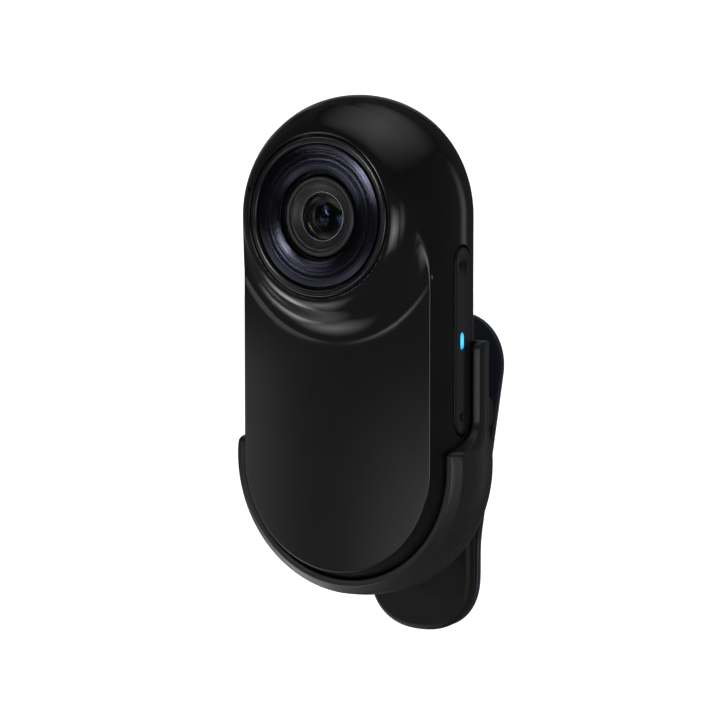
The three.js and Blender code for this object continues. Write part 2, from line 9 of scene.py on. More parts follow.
import bmesh
import bpy
from bpy.props import FloatProperty, FloatVectorProperty, PointerProperty
from mathutils import Matrix, Vector


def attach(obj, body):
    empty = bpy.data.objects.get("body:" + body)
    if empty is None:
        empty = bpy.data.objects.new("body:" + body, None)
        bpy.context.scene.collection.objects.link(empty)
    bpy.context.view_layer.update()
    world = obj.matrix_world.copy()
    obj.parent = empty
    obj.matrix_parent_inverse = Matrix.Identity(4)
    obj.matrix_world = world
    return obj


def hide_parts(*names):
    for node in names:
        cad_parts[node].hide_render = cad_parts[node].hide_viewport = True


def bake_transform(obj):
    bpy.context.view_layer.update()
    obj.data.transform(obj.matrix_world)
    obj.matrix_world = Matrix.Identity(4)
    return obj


bl_info = {
    "name": "Wearable Thumb Camera",
    "version": (1, 0, 0),
    "blender": (4, 5, 0),
    "location": "View3D > Sidebar > Thumb Camera",
    "description": "Builds a thumb camera, its cradle and its clothes clip round a fixed frame",
    "category": "Object",
}

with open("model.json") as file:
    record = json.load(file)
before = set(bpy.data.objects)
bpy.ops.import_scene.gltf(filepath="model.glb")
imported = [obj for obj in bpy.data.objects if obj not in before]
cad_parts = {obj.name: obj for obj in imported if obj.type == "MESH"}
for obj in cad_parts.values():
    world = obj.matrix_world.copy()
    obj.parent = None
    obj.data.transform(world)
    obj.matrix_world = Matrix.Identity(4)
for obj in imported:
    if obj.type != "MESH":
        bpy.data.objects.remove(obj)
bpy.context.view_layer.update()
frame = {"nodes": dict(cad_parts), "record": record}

MM = 0.001
PANEL_Y = -26.6  # the flat front panel, in millimetres as every length below
LOWER_Z = 24.0
LENS_Z = 61.2
HINGE_DEPTH = 29.5
HINGE_Z = LOWER_Z + 5.6


# ---- Settings


class CameraSettings(bpy.types.PropertyGroup):
    """Sizes and colours of the camera."""

    panel_radius: FloatProperty(
        name="Panel Radius",
        description="Radius of the body's round ends at the front panel, in millimetres",
        default=16.54,
    )
    crown_radius: FloatProperty(
        name="Crown Radius",
        description="Radius of the body's round ends where its sides bulge most, in millimetres",
        default=18.14,
    )
    foot_softness: FloatProperty(
        name="Foot Softness",
        description="How softly the head's shoulder turns into its hollow foot, in millimetres",
        default=0.35,
    )
    shell_colour: FloatVectorProperty(
        name="Shell Colour",
        description="Colour of the moulded shell",
        subtype="COLOR",
        default=(0.0045, 0.0047, 0.0052),
    )
    trim_colour: FloatVectorProperty(
        name="Trim Colour",
        description="Colour of the anodised ring round the lens",
        subtype="COLOR",
        default=(0.042, 0.043, 0.062),
    )
    light_colour: FloatVectorProperty(
        name="Status Light Colour",
        description="Colour of the status light",
        subtype="COLOR",
        default=(0.0, 0.42, 0.95),
    )


class CradleSettings(bpy.types.PropertyGroup):
    """Sizes and colours of the cradle and its clip."""

    shoulder_z: FloatProperty(
        name="Shoulder Height",
        description="Where the cradle's cup gives way to its arms, in millimetres",
        default=LOWER_Z + 2.8,
    )
    arm_top_z: FloatProperty(
        name="Arm Top",
        description="Height of the cradle arms' tops, in millimetres",
        default=LOWER_Z + 18.5,
    )
    cradle_colour: FloatVectorProperty(
        name="Cradle Colour",
        description="Colour of the grained cradle",
        subtype="COLOR",
        default=(0.0085, 0.0087, 0.0092),
    )
    clip_colour: FloatVectorProperty(
        name="Clip Colour",
        description="Colour of the clip's front jaw",
        subtype="COLOR",
        default=(0.006, 0.0062, 0.0066),
    )
    lever_colour: FloatVectorProperty(
        name="Lever Colour",
        description="Colour of the clip's lever",
        subtype="COLOR",
        default=(0.011, 0.0145, 0.022),
    )


class StageSettings(bpy.types.PropertyGroup):
    """Light, floor and camera."""

    light_power: FloatProperty(
        name="Light Power",
        description="Multiplies the strength of every card",
        default=1.0,
    )
    azimuth: FloatProperty(
        name="View Azimuth",
        description="Direction of the view, turned from straight ahead",
        subtype="ANGLE",
        default=math.radians(32.0),
    )
    elevation: FloatProperty(
        name="View Elevation",
        description="Height of the view above the horizon",
        subtype="ANGLE",
        default=math.radians(4.635),
    )


def camera_settings():
    return bpy.context.scene.thumb_camera


def cradle_settings():
    return bpy.context.scene.thumb_cradle


# ---- Shader maths


class Signal:
    """An output socket that Python's operators turn into Math nodes."""

    def __init__(self, paint, socket):
        self.paint = paint
        self.socket = socket

    def _math(self, operation, first, second=None):
        values = {0: first} if second is None else {0: first, 1: second}
        return self.paint.node("ShaderNodeMath", {"operation": operation}, values)

    def __add__(self, other):
        return self._math("ADD", self, other)

    def __radd__(self, other):
        return self._math("ADD", other, self)

    def __sub__(self, other):
        return self._math("SUBTRACT", self, other)

    def __rsub__(self, other):
        return self._math("SUBTRACT", other, self)

    def __mul__(self, other):
        return self._math("MULTIPLY", self, other)

    def __rmul__(self, other):
        return self._math("MULTIPLY", other, self)

    def __pow__(self, other):
        return self._math("POWER", self, other)

    def __gt__(self, other):
        return self._math("GREATER_THAN", self, other)

    def sine(self):
        return self._math("SINE", self)

    def absolute(self):
        return self._math("ABSOLUTE", self)


class Paint:
    """A material under construction: a Principled shader and the nodes that feed it."""

    def __init__(self, name, **constants):
        self.material = bpy.data.materials.new(name)
        self.material.use_nodes = True
        self.tree = self.material.node_tree
        self.shader = self.tree.nodes["Principled BSDF"]
        for socket, value in constants.items():
            self.shader.inputs[socket.replace("_", " ")].default_value = value

    def node(self, kind, settings=None, values=None, output=0):
        made = self.tree.nodes.new(kind)
        for name, value in (settings or {}).items():
            if name == "stops":
                ramp = made.color_ramp.elements
                while len(ramp) < len(value):
                    ramp.new(1.0)
                for stop, (place, colour) in zip(ramp, value):
                    stop.position = place
                    stop.color = (*colour, 1.0)
            else:
                setattr(made, name, value)
        for name, value in (values or {}).items():
            if isinstance(value, Signal):
                self.tree.links.new(value.socket, made.inputs[name])
            else:
                made.inputs[name].default_value = value
        return Signal(self, made.outputs[output])

    def feed(self, socket, signal):
        self.tree.links.new(signal.socket, self.shader.inputs[socket])

    def place(self, centre=(0, 0, 0), scale=(1, 1, 1), rotation=(0, 0, 0)):
        """Object coordinates in millimetres from a centre."""
        coordinates = self.node("ShaderNodeTexCoord", output="Object")
        shift = tuple(-c * s for c, s in zip(centre, scale))
        scale = tuple(s / MM for s in scale)
        values = {"Vector": coordinates, "Scale": scale, "Location": shift, "Rotation": rotation}
        return self.node("ShaderNodeMapping", {"vector_type": "POINT"}, values)

    def noise(self, where, scale, detail=2.0, roughness=0.5):
        values = {"Vector": where, "Scale": scale, "Detail": detail, "Roughness": roughness}
        return self.node("ShaderNodeTexNoise", {}, values, "Fac")

    def split(self, vector, axis):
        return self.node("ShaderNodeSeparateXYZ", {}, {"Vector": vector}, axis)

    def ramp(self, factor, stops):
        return self.node("ShaderNodeValToRGB", {"stops": stops}, {"Fac": factor}, "Color")

    def stretch(self, signal, low, high, to_low, to_high):
        values = {"Value": signal, 1: low, 2: high, 3: to_low, 4: to_high}
        return self.node("ShaderNodeMapRange", {"clamp": True}, values, "Result")

    def mix(self, factor, first, second):
        settings = {"data_type": "RGBA"}
        return self.node("ShaderNodeMix", settings, {0: factor, 6: first, 7: second}, 2)

    def bump(self, height, strength, distance, under=None):
        values = {"Height": height, "Strength": strength, "Distance": distance}
        if under is not None:
            values["Normal"] = under
        return self.node("ShaderNodeBump", {}, values, "Normal")

    def radius_about_lens(self, where):
        across = self.split(where, "X")
        up = self.split(where, "Z")
        return (across * across + up * up) ** 0.5


CLEAR_COAT_ROUGHNESS = 0.09


def shades(colour, low, high):
    """A colour made darker and lighter, for a ramp's stops."""
    return [tuple(c * low for c in colour), tuple(c * high for c in colour)]


def moulded(name, colour, roughness, grain, grain_depth, spread=0.05, coat=0.0, specular=0.5):
    """Moulded plastic: cloudy colour, uneven gloss, and a fine spark-eroded grain."""
    paint = Paint(
        name,
        Specular_IOR_Level=specular,
        Coat_Weight=coat,
        Coat_Roughness=CLEAR_COAT_ROUGHNESS,
    )
    where = paint.place()
    clouds = paint.noise(where, 0.16, 3.0, 0.55)
    dark, light = shades(colour, 0.86, 1.14)
    paint.feed("Base Color", paint.ramp(clouds, [(0.3, dark), (0.7, light)]))
    wiped = paint.noise(where, 0.5, 4.0, 0.6)
    paint.feed("Roughness", paint.stretch(wiped, 0.3, 0.7, roughness - spread, roughness + spread))
    fine = paint.noise(where, grain, 2.0, 0.6)
    paint.feed("Normal", paint.bump(fine, 1.0, grain_depth * MM))
    return paint.material


def shell_finish():
    """Silky shell under a clear gloss layer: almost smooth, with a hint of orange peel."""
    colour = tuple(camera_settings().shell_colour)
    return moulded(
        "shell_silk",
        colour,
        roughness=0.4,
        grain=9.0,
        grain_depth=0.0012,
        spread=0.025,
        coat=0.85,
        specular=0.05,
    )


def cradle_finish():
    """The cradle's sanded look, with pale specks on what faces the light."""
    colour = tuple(cradle_settings().cradle_colour)
    return moulded(
        "cradle_grain",
        colour,
        roughness=0.42,
        grain=5.5,
        grain_depth=0.02,
        spread=0.06,
        coat=0.15,
        specular=0.4,
    )


def clip_finish():
    colour = tuple(cradle_settings().clip_colour)
    return moulded("clip_grain", colour, 0.46, 6.5, grain_depth=0.012, specular=0.22)


def lever_finish():
    colour = tuple(cradle_settings().lever_colour)
    return moulded("lever_satin", colour, 0.36, 8.0, grain_depth=0.004, spread=0.04)


def key_finish():
    colour = tuple(camera_settings().shell_colour)
    return moulded(
        "key_satin",
        colour,
        roughness=0.38,
        grain=8.0,
        grain_depth=0.004,
        spread=0.03,
        coat=0.05,
        specular=0.2,
    )


def inner_finish():
    return moulded("inner_moulding", (0.045, 0.047, 0.05), 0.55, 4.0, 0.01)


def chip_finish():
    return moulded("chip_moulding", (0.012, 0.012, 0.013), 0.6, 7.0, 0.01)


def rubber_finish():
    """Dull rubber with a bloom of dust in its grain."""
    paint = Paint("soft_rubber", Specular_IOR_Level=0.35)
    where = paint.place()
    dust = paint.noise(where, 1.2, 5.0, 0.65)
    clean, dusty = (0.008, 0.008, 0.008), (0.02, 0.02, 0.019)
    paint.feed("Base Color", paint.ramp(dust, [(0.35, clean), (0.75, dusty)]))
    paint.feed("Roughness", paint.stretch(dust, 0.3, 0.7, 0.72, 0.88))
    paint.feed("Normal", paint.bump(paint.noise(where, 6.0, 3.0), 1.0, 0.012 * MM))
    return paint.material


def bezel_finish():
    """Polished black with faint wipe marks in its gloss."""
    paint = Paint("bezel_polish", Specular_IOR_Level=0.5)
    where = paint.place((0, PANEL_Y, LENS_Z))
    smear = paint.noise(where, 0.35, 3.0)
    clean, wiped = (0.004, 0.004, 0.005), (0.007, 0.0065, 0.008)
    paint.feed("Base Color", paint.ramp(smear, [(0.3, clean), (0.7, wiped)]))
    paint.feed("Roughness", paint.stretch(smear, 0.3, 0.7, 0.12, 0.2))
    return paint.material


def turned_metal(name, colour, roughness, groove_pitch, groove_depth, metallic=1.0):
    """Metal faced on a lathe: fine grooves run round the lens axis."""
    paint = Paint(name, Metallic=metallic)
    where = paint.place((0, PANEL_Y, LENS_Z))
    radius = paint.radius_about_lens(where)
    band = paint.node("ShaderNodeCombineXYZ", {}, {"X": radius})
    tone = paint.noise(band, 2.2, 4.0, 0.7)
    dark, light = shades(colour, 0.75, 1.25)
    paint.feed("Base Color", paint.ramp(tone, [(0.3, dark), (0.7, light)]))
    paint.feed("Roughness", paint.stretch(tone, 0.3, 0.7, roughness - 0.04, roughness + 0.04))
    scratch = paint.noise(band, 1.0 / groove_pitch, 3.0, 0.75)
    paint.feed("Normal", paint.bump(scratch, 1.0, groove_depth * MM))
    return paint.material


def trim_finish():
    return turned_metal("trim_anodised", tuple(camera_settings().trim_colour), 0.12, 0.14, 0.02)


def lens_ring_finish():
    return turned_metal("lens_ring_anodised", (0.055, 0.055, 0.058), 0.42, 0.18, 0.012, 0.85)


def barrel_finish():
    return turned_metal("barrel_blacking", (0.006, 0.006, 0.007), 0.38, 0.2, 0.01, 0.2)


def bright_ring_finish():
    return turned_metal("retaining_ring", (0.3, 0.31, 0.34), 0.25, 0.15, 0.006)


def coated_glass(name, tint, film_nanometres):
    """Lens glass under a thin anti-reflection film, with faint dust."""
    paint = Paint(
        name,
        Transmission_Weight=1.0,
        IOR=1.62,
        Thin_Film_Thickness=film_nanometres,
        Thin_Film_IOR=1.38,
    )
    where = paint.place((0, PANEL_Y, LENS_Z))
    dust = paint.noise(where, 3.5, 6.0, 0.7)
    paint.feed("Base Color", paint.ramp(dust, [(0.0, tint), (1.0, tuple(c * 0.94 for c in tint))]))
    paint.feed("Roughness", paint.stretch(dust, 0.62, 0.8, 0.015, 0.06))
    return paint.material


def dark_element():
    """An inner element painted as it looks in its barrel: nearly black for painted shade, with a
    painted coating reflection from teal in the middle to violet at the rim.
    """
    paint = Paint("element_painted_shade_and_reflection", Specular_IOR_Level=0.28, Roughness=0.06)
    paint.shader.inputs["Specular Tint"].default_value = (0.5, 0.66, 1.0, 1.0)
    radius = paint.radius_about_lens(paint.place((0, PANEL_Y, LENS_Z)))
    teal, night, violet = (0.001, 0.006, 0.01), (0.001, 0.002, 0.004), (0.006, 0.002, 0.01)
    # Base colour is painted shade with a painted coating reflection: teal in the middle, near
    # black, then violet at the rim.
    paint.feed("Base Color", paint.ramp(radius * 0.25, [(0.0, teal), (0.5, night), (1.0, violet)]))
    return paint.material


def brushed_steel():
    """Plated steel with short brush lines and a little tarnish."""
    paint = Paint("plated_steel", Metallic=1.0)
    where = paint.place(scale=(0.6, 6.0, 6.0))
    lines = paint.noise(where, 2.0, 4.0, 0.65)
    tarnish = paint.noise(paint.place(), 0.8, 3.0)
    base = paint.mix(tarnish, (0.42, 0.425, 0.43, 1.0), (0.56, 0.565, 0.57, 1.0))
    paint.feed("Base Color", base)
    paint.feed("Roughness", paint.stretch(lines, 0.3, 0.7, 0.24, 0.4))
    paint.feed("Normal", paint.bump(lines, 0.6, 0.004 * MM))
    return paint.material


def dark_steel():
    """Blackened spring wire and pins."""
    paint = Paint("blackened_steel", Metallic=1.0)
    where = paint.place()
    wear = paint.noise(where, 1.6, 4.0, 0.6)
    base = paint.ramp(wear, [(0.35, (0.05, 0.051, 0.054)), (0.75, (0.12, 0.12, 0.125))])
    paint.feed("Base Color", base)
    paint.feed("Roughness", paint.stretch(wear, 0.3, 0.7, 0.28, 0.42))
    return paint.material


def copper_finish():
    paint = Paint("copper_foil", Metallic=1.0)
    where = paint.place(scale=(1, 1, 4))
    mottled = paint.noise(where, 0.9, 4.0, 0.6)
    base = paint.ramp(mottled, [(0.3, (0.42, 0.17, 0.08)), (0.7, (0.62, 0.29, 0.15))])
    paint.feed("Base Color", base)
    paint.feed("Roughness", paint.stretch(mottled, 0.3, 0.7, 0.3, 0.5))
    paint.feed("Normal", paint.bump(mottled, 0.5, 0.02 * MM))
    return paint.material


def foil_finish():
    """The cell's crinkled laminate."""
    paint = Paint("cell_laminate", Metallic=0.9)
    where = paint.place()
    crinkle = paint.noise(where, 0.6, 5.0, 0.55)
    base = paint.ramp(crinkle, [(0.3, (0.3, 0.31, 0.32)), (0.7, (0.44, 0.45, 0.46))])
    paint.feed("Base Color", base)
    paint.feed("Roughness", paint.stretch(crinkle, 0.3, 0.7, 0.3, 0.48))
    paint.feed("Normal", paint.bump(crinkle, 0.8, 0.12 * MM))
    return paint.material


def board_finish():
    """Green solder mask over faint copper tracks."""
    paint = Paint("board_mask", Specular_IOR_Level=0.5, Coat_Weight=0.4, Coat_Roughness=0.2)
    where = paint.place()
    across, up = paint.split(where, "X"), paint.split(where, "Z")
    bend = paint.noise(where, 0.3, 1.0)
    tracks = ((across + bend * 2.0) * 5.2).sine() * ((up + bend * 3.0) * 1.1).sine() > 0.45
    base = paint.mix(tracks, (0.006, 0.045, 0.018, 1.0), (0.016, 0.1, 0.035, 1.0))
    paint.feed("Base Color", base)
    paint.feed("Roughness", 0.45 - tracks * 0.1)
    paint.feed("Normal", paint.bump(tracks, 0.5, 0.03 * MM))
    return paint.material


def status_finish():
    """A lit blue light pipe, brightest along its middle."""
    colour = tuple(camera_settings().light_colour)
    paint = Paint("status_glow", Emission_Strength=1.5, Specular_IOR_Level=0.5)
    where = paint.place((0, PANEL_Y + 6.8, LOWER_Z + 18.8))
    reach = paint.split(where, "Z").absolute()
    core = paint.stretch(reach, 0.0, 1.35, 1.0, 0.0)
    rim = tuple(c * 0.72 for c in colour)
    heart = (colour[0] + 0.05, colour[1] * 1.2, colour[2])
    glow = paint.ramp(core, [(0.05, rim), (0.75, heart)])
    paint.feed("Emission Color", glow)
    dim, bright = (0.01, 0.08, 0.16), (0.02, 0.16, 0.3)
    paint.feed("Base Color", paint.ramp(core, [(0.0, dim), (1.0, bright)]))
    paint.feed("Roughness", paint.stretch(core, 0.0, 1.0, 0.25, 0.18))
    return paint.material


FINISHES = {
    "shell_plastic": shell_finish,
    "cradle_plastic": cradle_finish,
    "clip_plastic": clip_finish,
    "lever_plastic": lever_finish,
    "key_satin": key_finish,
    "bezel_gloss": bezel_finish,
    "trim_metal": trim_finish,
    "ring_metal": lens_ring_finish,
    "barrel": barrel_finish,
    "bright_ring": bright_ring_finish,
    "front_glass": lambda: coated_glass("front_glass", (0.93, 0.95, 1.0), 110.0),
    "lens_glass": lambda: coated_glass("inner_glass", (0.86, 0.88, 1.0), 460.0),
    "dark_element": dark_element,
    "steel": brushed_steel,
    "dark_steel": dark_steel,
    "rubber": rubber_finish,
    "board": board_finish,
    "chip": chip_finish,
    "cell_foil": foil_finish,
    "status_blue": status_finish,
    "copper": copper_finish,
    "inner_plastic": inner_finish,
}
finishes_made = {}


def finish_named(name):
    if name not in finishes_made:
        finishes_made[name] = FINISHES[name]()
    return finishes_made[name]


# ---- Making pieces


def to_object(bm, name):
    """Turns a mesh under construction into an object in the scene."""
    mesh = bpy.data.meshes.new(name)
    bm.to_mesh(mesh)
    bm.free()
    made = bpy.data.objects.new(name, mesh)
    bpy.context.scene.collection.objects.link(made)
    return made


def place_piece(bm, name, body, slot, nodes=(), finish=None, sharp=35.0):
    """Turns a mesh built in millimetres into a piece that rides on a body of the frame."""
    bmesh.ops.scale(bm, vec=(MM, MM, MM), verts=bm.verts)
    bmesh.ops.recalc_face_normals(bm, faces=bm.faces)
    piece = to_object(bm, name)
    piece.data.materials.append(finish_named(finish or slot))
    piece.data.shade_smooth()
    piece.data.set_sharp_from_angle(angle=math.radians(sharp))
    if body:
        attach(piece, body)
    if nodes:
        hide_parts(*nodes)
    return piece


def scratch(bm, name):
    """A helper object for a boolean cut, which is removed after it."""
    bmesh.ops.recalc_face_normals(bm, faces=bm.faces)
    return to_object(bm, name)


def worked_out(helper):
    """An object's mesh with its modifiers or its curve applied, as a new bmesh."""
    bpy.context.view_layer.update()
    evaluated = helper.evaluated_get(bpy.context.evaluated_depsgraph_get())
    bm = bmesh.new()
    bm.from_mesh(evaluated.to_mesh())
    evaluated.to_mesh_clear()
    return bm


def carve(bm, cutters=(), joined=()):
    """Joins solids to a mesh and cuts others out of it, and returns the result as a new bmesh."""
    body = scratch(bm, "body_work")
    helpers = [(scratch(other, "join_work"), "UNION") for other in joined]
    helpers += [(scratch(other, "cut_work"), "DIFFERENCE") for other in cutters]
    for helper, operation in helpers:
        modifier = body.modifiers.new("work", "BOOLEAN")
        modifier.operation = operation
        modifier.solver = "EXACT"
        modifier.object = helper
    result = worked_out(body)
    for helper in [body] + [helper for helper, _ in helpers]:
        mesh = helper.data
        bpy.data.objects.remove(helper)
        bpy.data.meshes.remove(mesh)
    bmesh.ops.remove_doubles(result, verts=result.verts, dist=1e-4)
    bmesh.ops.dissolve_degenerate(result, dist=1e-4, edges=result.edges)
    return result


def behind(depth):
    return PANEL_Y + depth


def ahead(height):
    return PANEL_Y - height


def at_depths(profile):
    """A profile of (radius, depth behind the panel) as (radius, y)."""
    return [(r, behind(d)) for r, d in profile]


def at_heights(profile):
    """A profile of (radius, height ahead of the panel) as (radius, y)."""
    return [(r, ahead(h)) for r, h in profile]


def new_verts(geometry):
    return [item for item in geometry if isinstance(item, bmesh.types.BMVert)]


def new_edges(geometry):
    return [item for item in geometry if isinstance(item, bmesh.types.BMEdge)]


def round_ended_loop(bm, radius, low_z, high_z, y, arc_steps, straight_steps):
    """An upright outline with two half-round ends, as a closed loop of edges."""
    for centre_z, side in ((low_z, -1), (high_z, 1)):
        start = bm.verts.new((side * radius, y, centre_z))
        bmesh.ops.spin(
            bm,
            geom=[start],
            cent=(0, y, centre_z),
            axis=(0, -1, 0),
            angle=math.pi,
            steps=arc_steps,
            space=Matrix(),
        )
    ends = {}
    for vert in bm.verts:
        if abs(abs(vert.co.x) - radius) < 2e-4 * radius:
            ends[(vert.co.x > 0, vert.co.z > (low_z + high_z) / 2)] = vert
    walls = [bm.edges.new((ends[(right, False)], ends[(right, True)])) for right in (False, True)]
    bmesh.ops.subdivide_edges(bm, edges=walls, cuts=straight_steps - 1)
    return list(bm.edges)


def resize_ring(bm, verts, scale, y_shift, low_z, high_z):
    """Scales a ring's two ends about their own centres and shifts it along the lens axis."""
    middle = (low_z + high_z) / 2
    for verts_of_end, centre_z in (
        ([v for v in verts if v.co.z < low_z], low_z),
        ([v for v in verts if v.co.z > high_z], high_z),
        ([v for v in verts if low_z <= v.co.z <= high_z], middle),
    ):
        tall = 1.0 if centre_z == middle else scale
        space = Matrix.Translation((0, 0, -centre_z))
        bmesh.ops.scale(bm, vec=(scale, 1.0, tall), space=space, verts=verts_of_end)
    bmesh.ops.translate(bm, vec=(0, y_shift, 0), verts=verts)


def round_ended_body(profile, low_z, high_z, arc_steps=48, straight_steps=24):
    """A solid with two half-round ends, from a profile of (radius, y) along the lens axis.

    The last entry may have no radius, which closes it along the body's middle line.
    """
    bm = bmesh.new()
    radius, y = profile[0]
    first = round_ended_loop(bm, radius, low_z, high_z, y, arc_steps, straight_steps)
    edges = first
    for next_radius, next_y in profile[1:]:
        made = bmesh.ops.extrude_edge_only(bm, edges=edges)["geom"]
        verts = new_verts(made)
        factor = max(next_radius, 1e-3) / radius
        resize_ring(bm, verts, factor, next_y - y, low_z, high_z)
        edges = [e for e in new_edges(made) if all(v in set(verts) for v in e.verts)]
        radius, y = max(next_radius, 1e-3), next_y
    return bm, first, edges


def closed_round_ended(profile, low_z, high_z, arc_steps=48, straight_steps=24):
    """A round-ended solid that is flat at both ends."""
    bm, first, last = round_ended_body(profile, low_z, high_z, arc_steps, straight_steps)
    for loop in (first, last):
        bmesh.ops.contextual_create(bm, geom=loop)
    return bm


def turned(profile, segments=96, axis_point=(0, 0, LENS_Z), closed=False):
    """A profile of (radius, y) turned about an axis along Y."""
    bm = bmesh.new()
    verts = [bm.verts.new((axis_point[0] + r, y, axis_point[2])) for r, y in profile]
    edges = [bm.edges.new(pair) for pair in zip(verts, verts[1:])]
    if closed:
        edges.append(bm.edges.new((verts[-1], verts[0])))
    bmesh.ops.spin(
        bm,
        geom=verts + edges,
        cent=axis_point,
        axis=(0, 1, 0),
        angle=math.tau,
        steps=segments,
        use_merge=True,
        space=Matrix(),
    )
    bmesh.ops.remove_doubles(bm, verts=bm.verts, dist=1e-4)
    return bm


def rod(start, end, radius, segments=32, chamfer=0.0):
    """A round rod between two points, with an optional chamfer at its ends."""
    start, end = Vector(start), Vector(end)
    along = end - start
    turn = along.to_track_quat("Z", "Y").to_matrix().to_4x4()
    matrix = Matrix.Translation((start + end) / 2) @ turn
    bm = bmesh.new()
    bmesh.ops.create_cone(
        bm,
        cap_ends=True,
        segments=segments,
        radius1=radius,
        radius2=radius,
        depth=along.length,
        matrix=matrix,
    )
    if chamfer:
        rims = [e for e in bm.edges if any(len(f.verts) > 4 for f in e.link_faces)]
        bevel(bm, rims, chamfer, 2)
    return bm


def bevel(bm, edges, offset, segments=2):
    bmesh.ops.bevel(
        bm,
        geom=edges,
        offset=offset,
        segments=segments,
        profile=0.5,
        affect="EDGES",
        material=-1,
        clamp_overlap=True,
    )


def block(low, high, rounding=0.0, segments=3):
    """A box between two corners with rounded edges."""
    low, high = Vector(low), Vector(high)
    bm = bmesh.new()
    matrix = Matrix.Translation((low + high) / 2) @ Matrix.Diagonal((*(high - low), 1.0))
    bmesh.ops.create_cube(bm, size=1.0, matrix=matrix)
    if rounding:
        bevel(bm, list(bm.edges), rounding, segments)
    return bm


def arc(centre, radius, start, end, steps):
    """Points on an arc in a profile's plane, angles in degrees."""
    turns = [math.radians(start + (end - start) * i / steps) for i in range(steps + 1)]
    return [(centre[0] + radius * math.cos(t), centre[1] + radius * math.sin(t)) for t in turns]


def ease(value, low, high):
    """Smooth step from 0 at low to 1 at high."""
    t = min(1.0, max(0.0, (value - low) / (high - low)))
    return t * t * (3.0 - 2.0 * t)


def soft_min(a, b, softness):
    """The lower of two heights, rounded over where they cross."""
    if softness <= 0:
        return min(a, b)
    near = max(softness - abs(a - b), 0.0)
    return min(a, b) - near * near / (4.0 * softness)


# ---- Camera body

HEAD_HEIGHT = 4.9
HEAD_TOP_R = 12.05
SKIRT_R = 19.4
SKIRT_FILLET = 5.0
EDGE_FILLET = 0.3
SIDE_DEPTH = 6.8
SHOULDER_R = (13.6, 15.55)
SHOULDER_LOW = 1.75
FOOT_BLEND_R = (15.0, 15.8)
KEY_Z = LOWER_Z + 18.8
KEY_LENGTH = 28.0
KEY_WIDTH = 4.5
POCKET_DEPTH = 1.35
SIDE_GAP = 0.28
PORT_Z = LOWER_Z + 26.7
PORT_LENGTH = 13.4
PORT_HINGE_Z = PORT_Z - PORT_LENGTH / 2 + 1.3
PORT_HINGE_DEPTH = 0.55
SWITCH_OFFSET = 11.3
SCREW_CIRCLE_R = 13.8
SCREW_TURN = math.pi / 5
SCREW_PLACES = [
    (side * SCREW_CIRCLE_R * math.cos(SCREW_TURN), z + way * SCREW_CIRCLE_R * math.sin(SCREW_TURN))
    for z, way in ((LOWER_Z, -1), (LENS_Z, 1))
    for side in (1, -1)
]


def head_curve(radius):
    """Height of the head's shoulder at a distance from its middle line."""
    r0, r1, r2, r3 = HEAD_TOP_R, *SHOULDER_R, camera_settings().panel_radius
    if radius <= r0:
        return HEAD_HEIGHT
    low, high = 0.0, 1.0
    for _ in range(40):
        t = (low + high) / 2
        u = 1 - t
        across = r0 * u**3 + 3 * r1 * t * u * u + 3 * r2 * t * t * u + r3 * t**3
        low, high = (t, high) if across < radius else (low, t)
    t = (low + high) / 2
    u = 1 - t
    return HEAD_HEIGHT * u**3 + 3 * HEAD_HEIGHT * t * u * u + 3 * SHOULDER_LOW * t * t * u


def foot_height(radius):
    """Height of the head's hollow foot at a distance from the lens axis."""
    if radius >= SKIRT_R:
        return 0.0
    run = min(SKIRT_R - radius, SKIRT_FILLET)
    fillet = SKIRT_FILLET - math.sqrt(SKIRT_FILLET**2 - run * run)
    if radius < FOOT_BLEND_R[0]:
        return head_curve(radius)
    share = ease(radius, *FOOT_BLEND_R)
    return (1 - share) * head_curve(radius) + share * fillet


def front_height(x, z, softness):
    """Height of the body's front ahead of its panel."""
    from_middle = math.hypot(x, max(0.0, z - LENS_Z, LOWER_Z - z))
    from_lens = math.hypot(x, z - LENS_Z)
    across = head_curve(from_middle)
    if z >= LENS_Z:
        return across
    below = ease(LENS_Z - z, 0.0, 6.0)
    return soft_min(across, foot_height(from_lens), softness * below)


def edge_drop(x, z):
    """How far the panel's rounded edge falls back, which the head covers as it rises."""
    from_middle = math.hypot(x, max(0.0, z - LENS_Z, LOWER_Z - z))
    into_edge = (from_middle - camera_settings().panel_radius + EDGE_FILLET) / EDGE_FILLET
    if into_edge <= 0.0:
        return 0.0
    raised = front_height(0.98 * x, z, 0.0) if z < LENS_Z else HEAD_HEIGHT
    drop = EDGE_FILLET * 0.85 * (1 - math.sqrt(max(0.0, 1 - min(1.0, into_edge) ** 2)))
    return drop * (1 - ease(raised, 0.0, 0.5))


def wall_profile():
    """The bulging side wall as (radius, depth), from the back edge to the front panel."""
    crown = camera_settings().crown_radius
    back = [(crown - 1.2, 11.5), (crown - 0.95, 11.44)]
    back += [(crown - 0.78, 11.28), (crown - 0.66, 11.05)]
    back += [(crown - 0.56, 10.8), (crown - 0.44, 10.4), (crown - 0.33, 9.95), (crown - 0.2, 9.3)]
    crest = [(crown - 0.09, 8.5), (crown - 0.02, 7.6), (crown, SIDE_DEPTH), (crown - 0.03, 5.9)]
    front = [(crown - 0.11, 5.0), (crown - 0.23, 4.15), (crown - 0.38, 3.35), (crown - 0.6, 2.5)]
    front += [(crown - 0.89, 1.7), (crown - 1.14, 1.1), (crown - 1.36, 0.6), (crown - 1.46, 0.36)]
    return back + crest + front


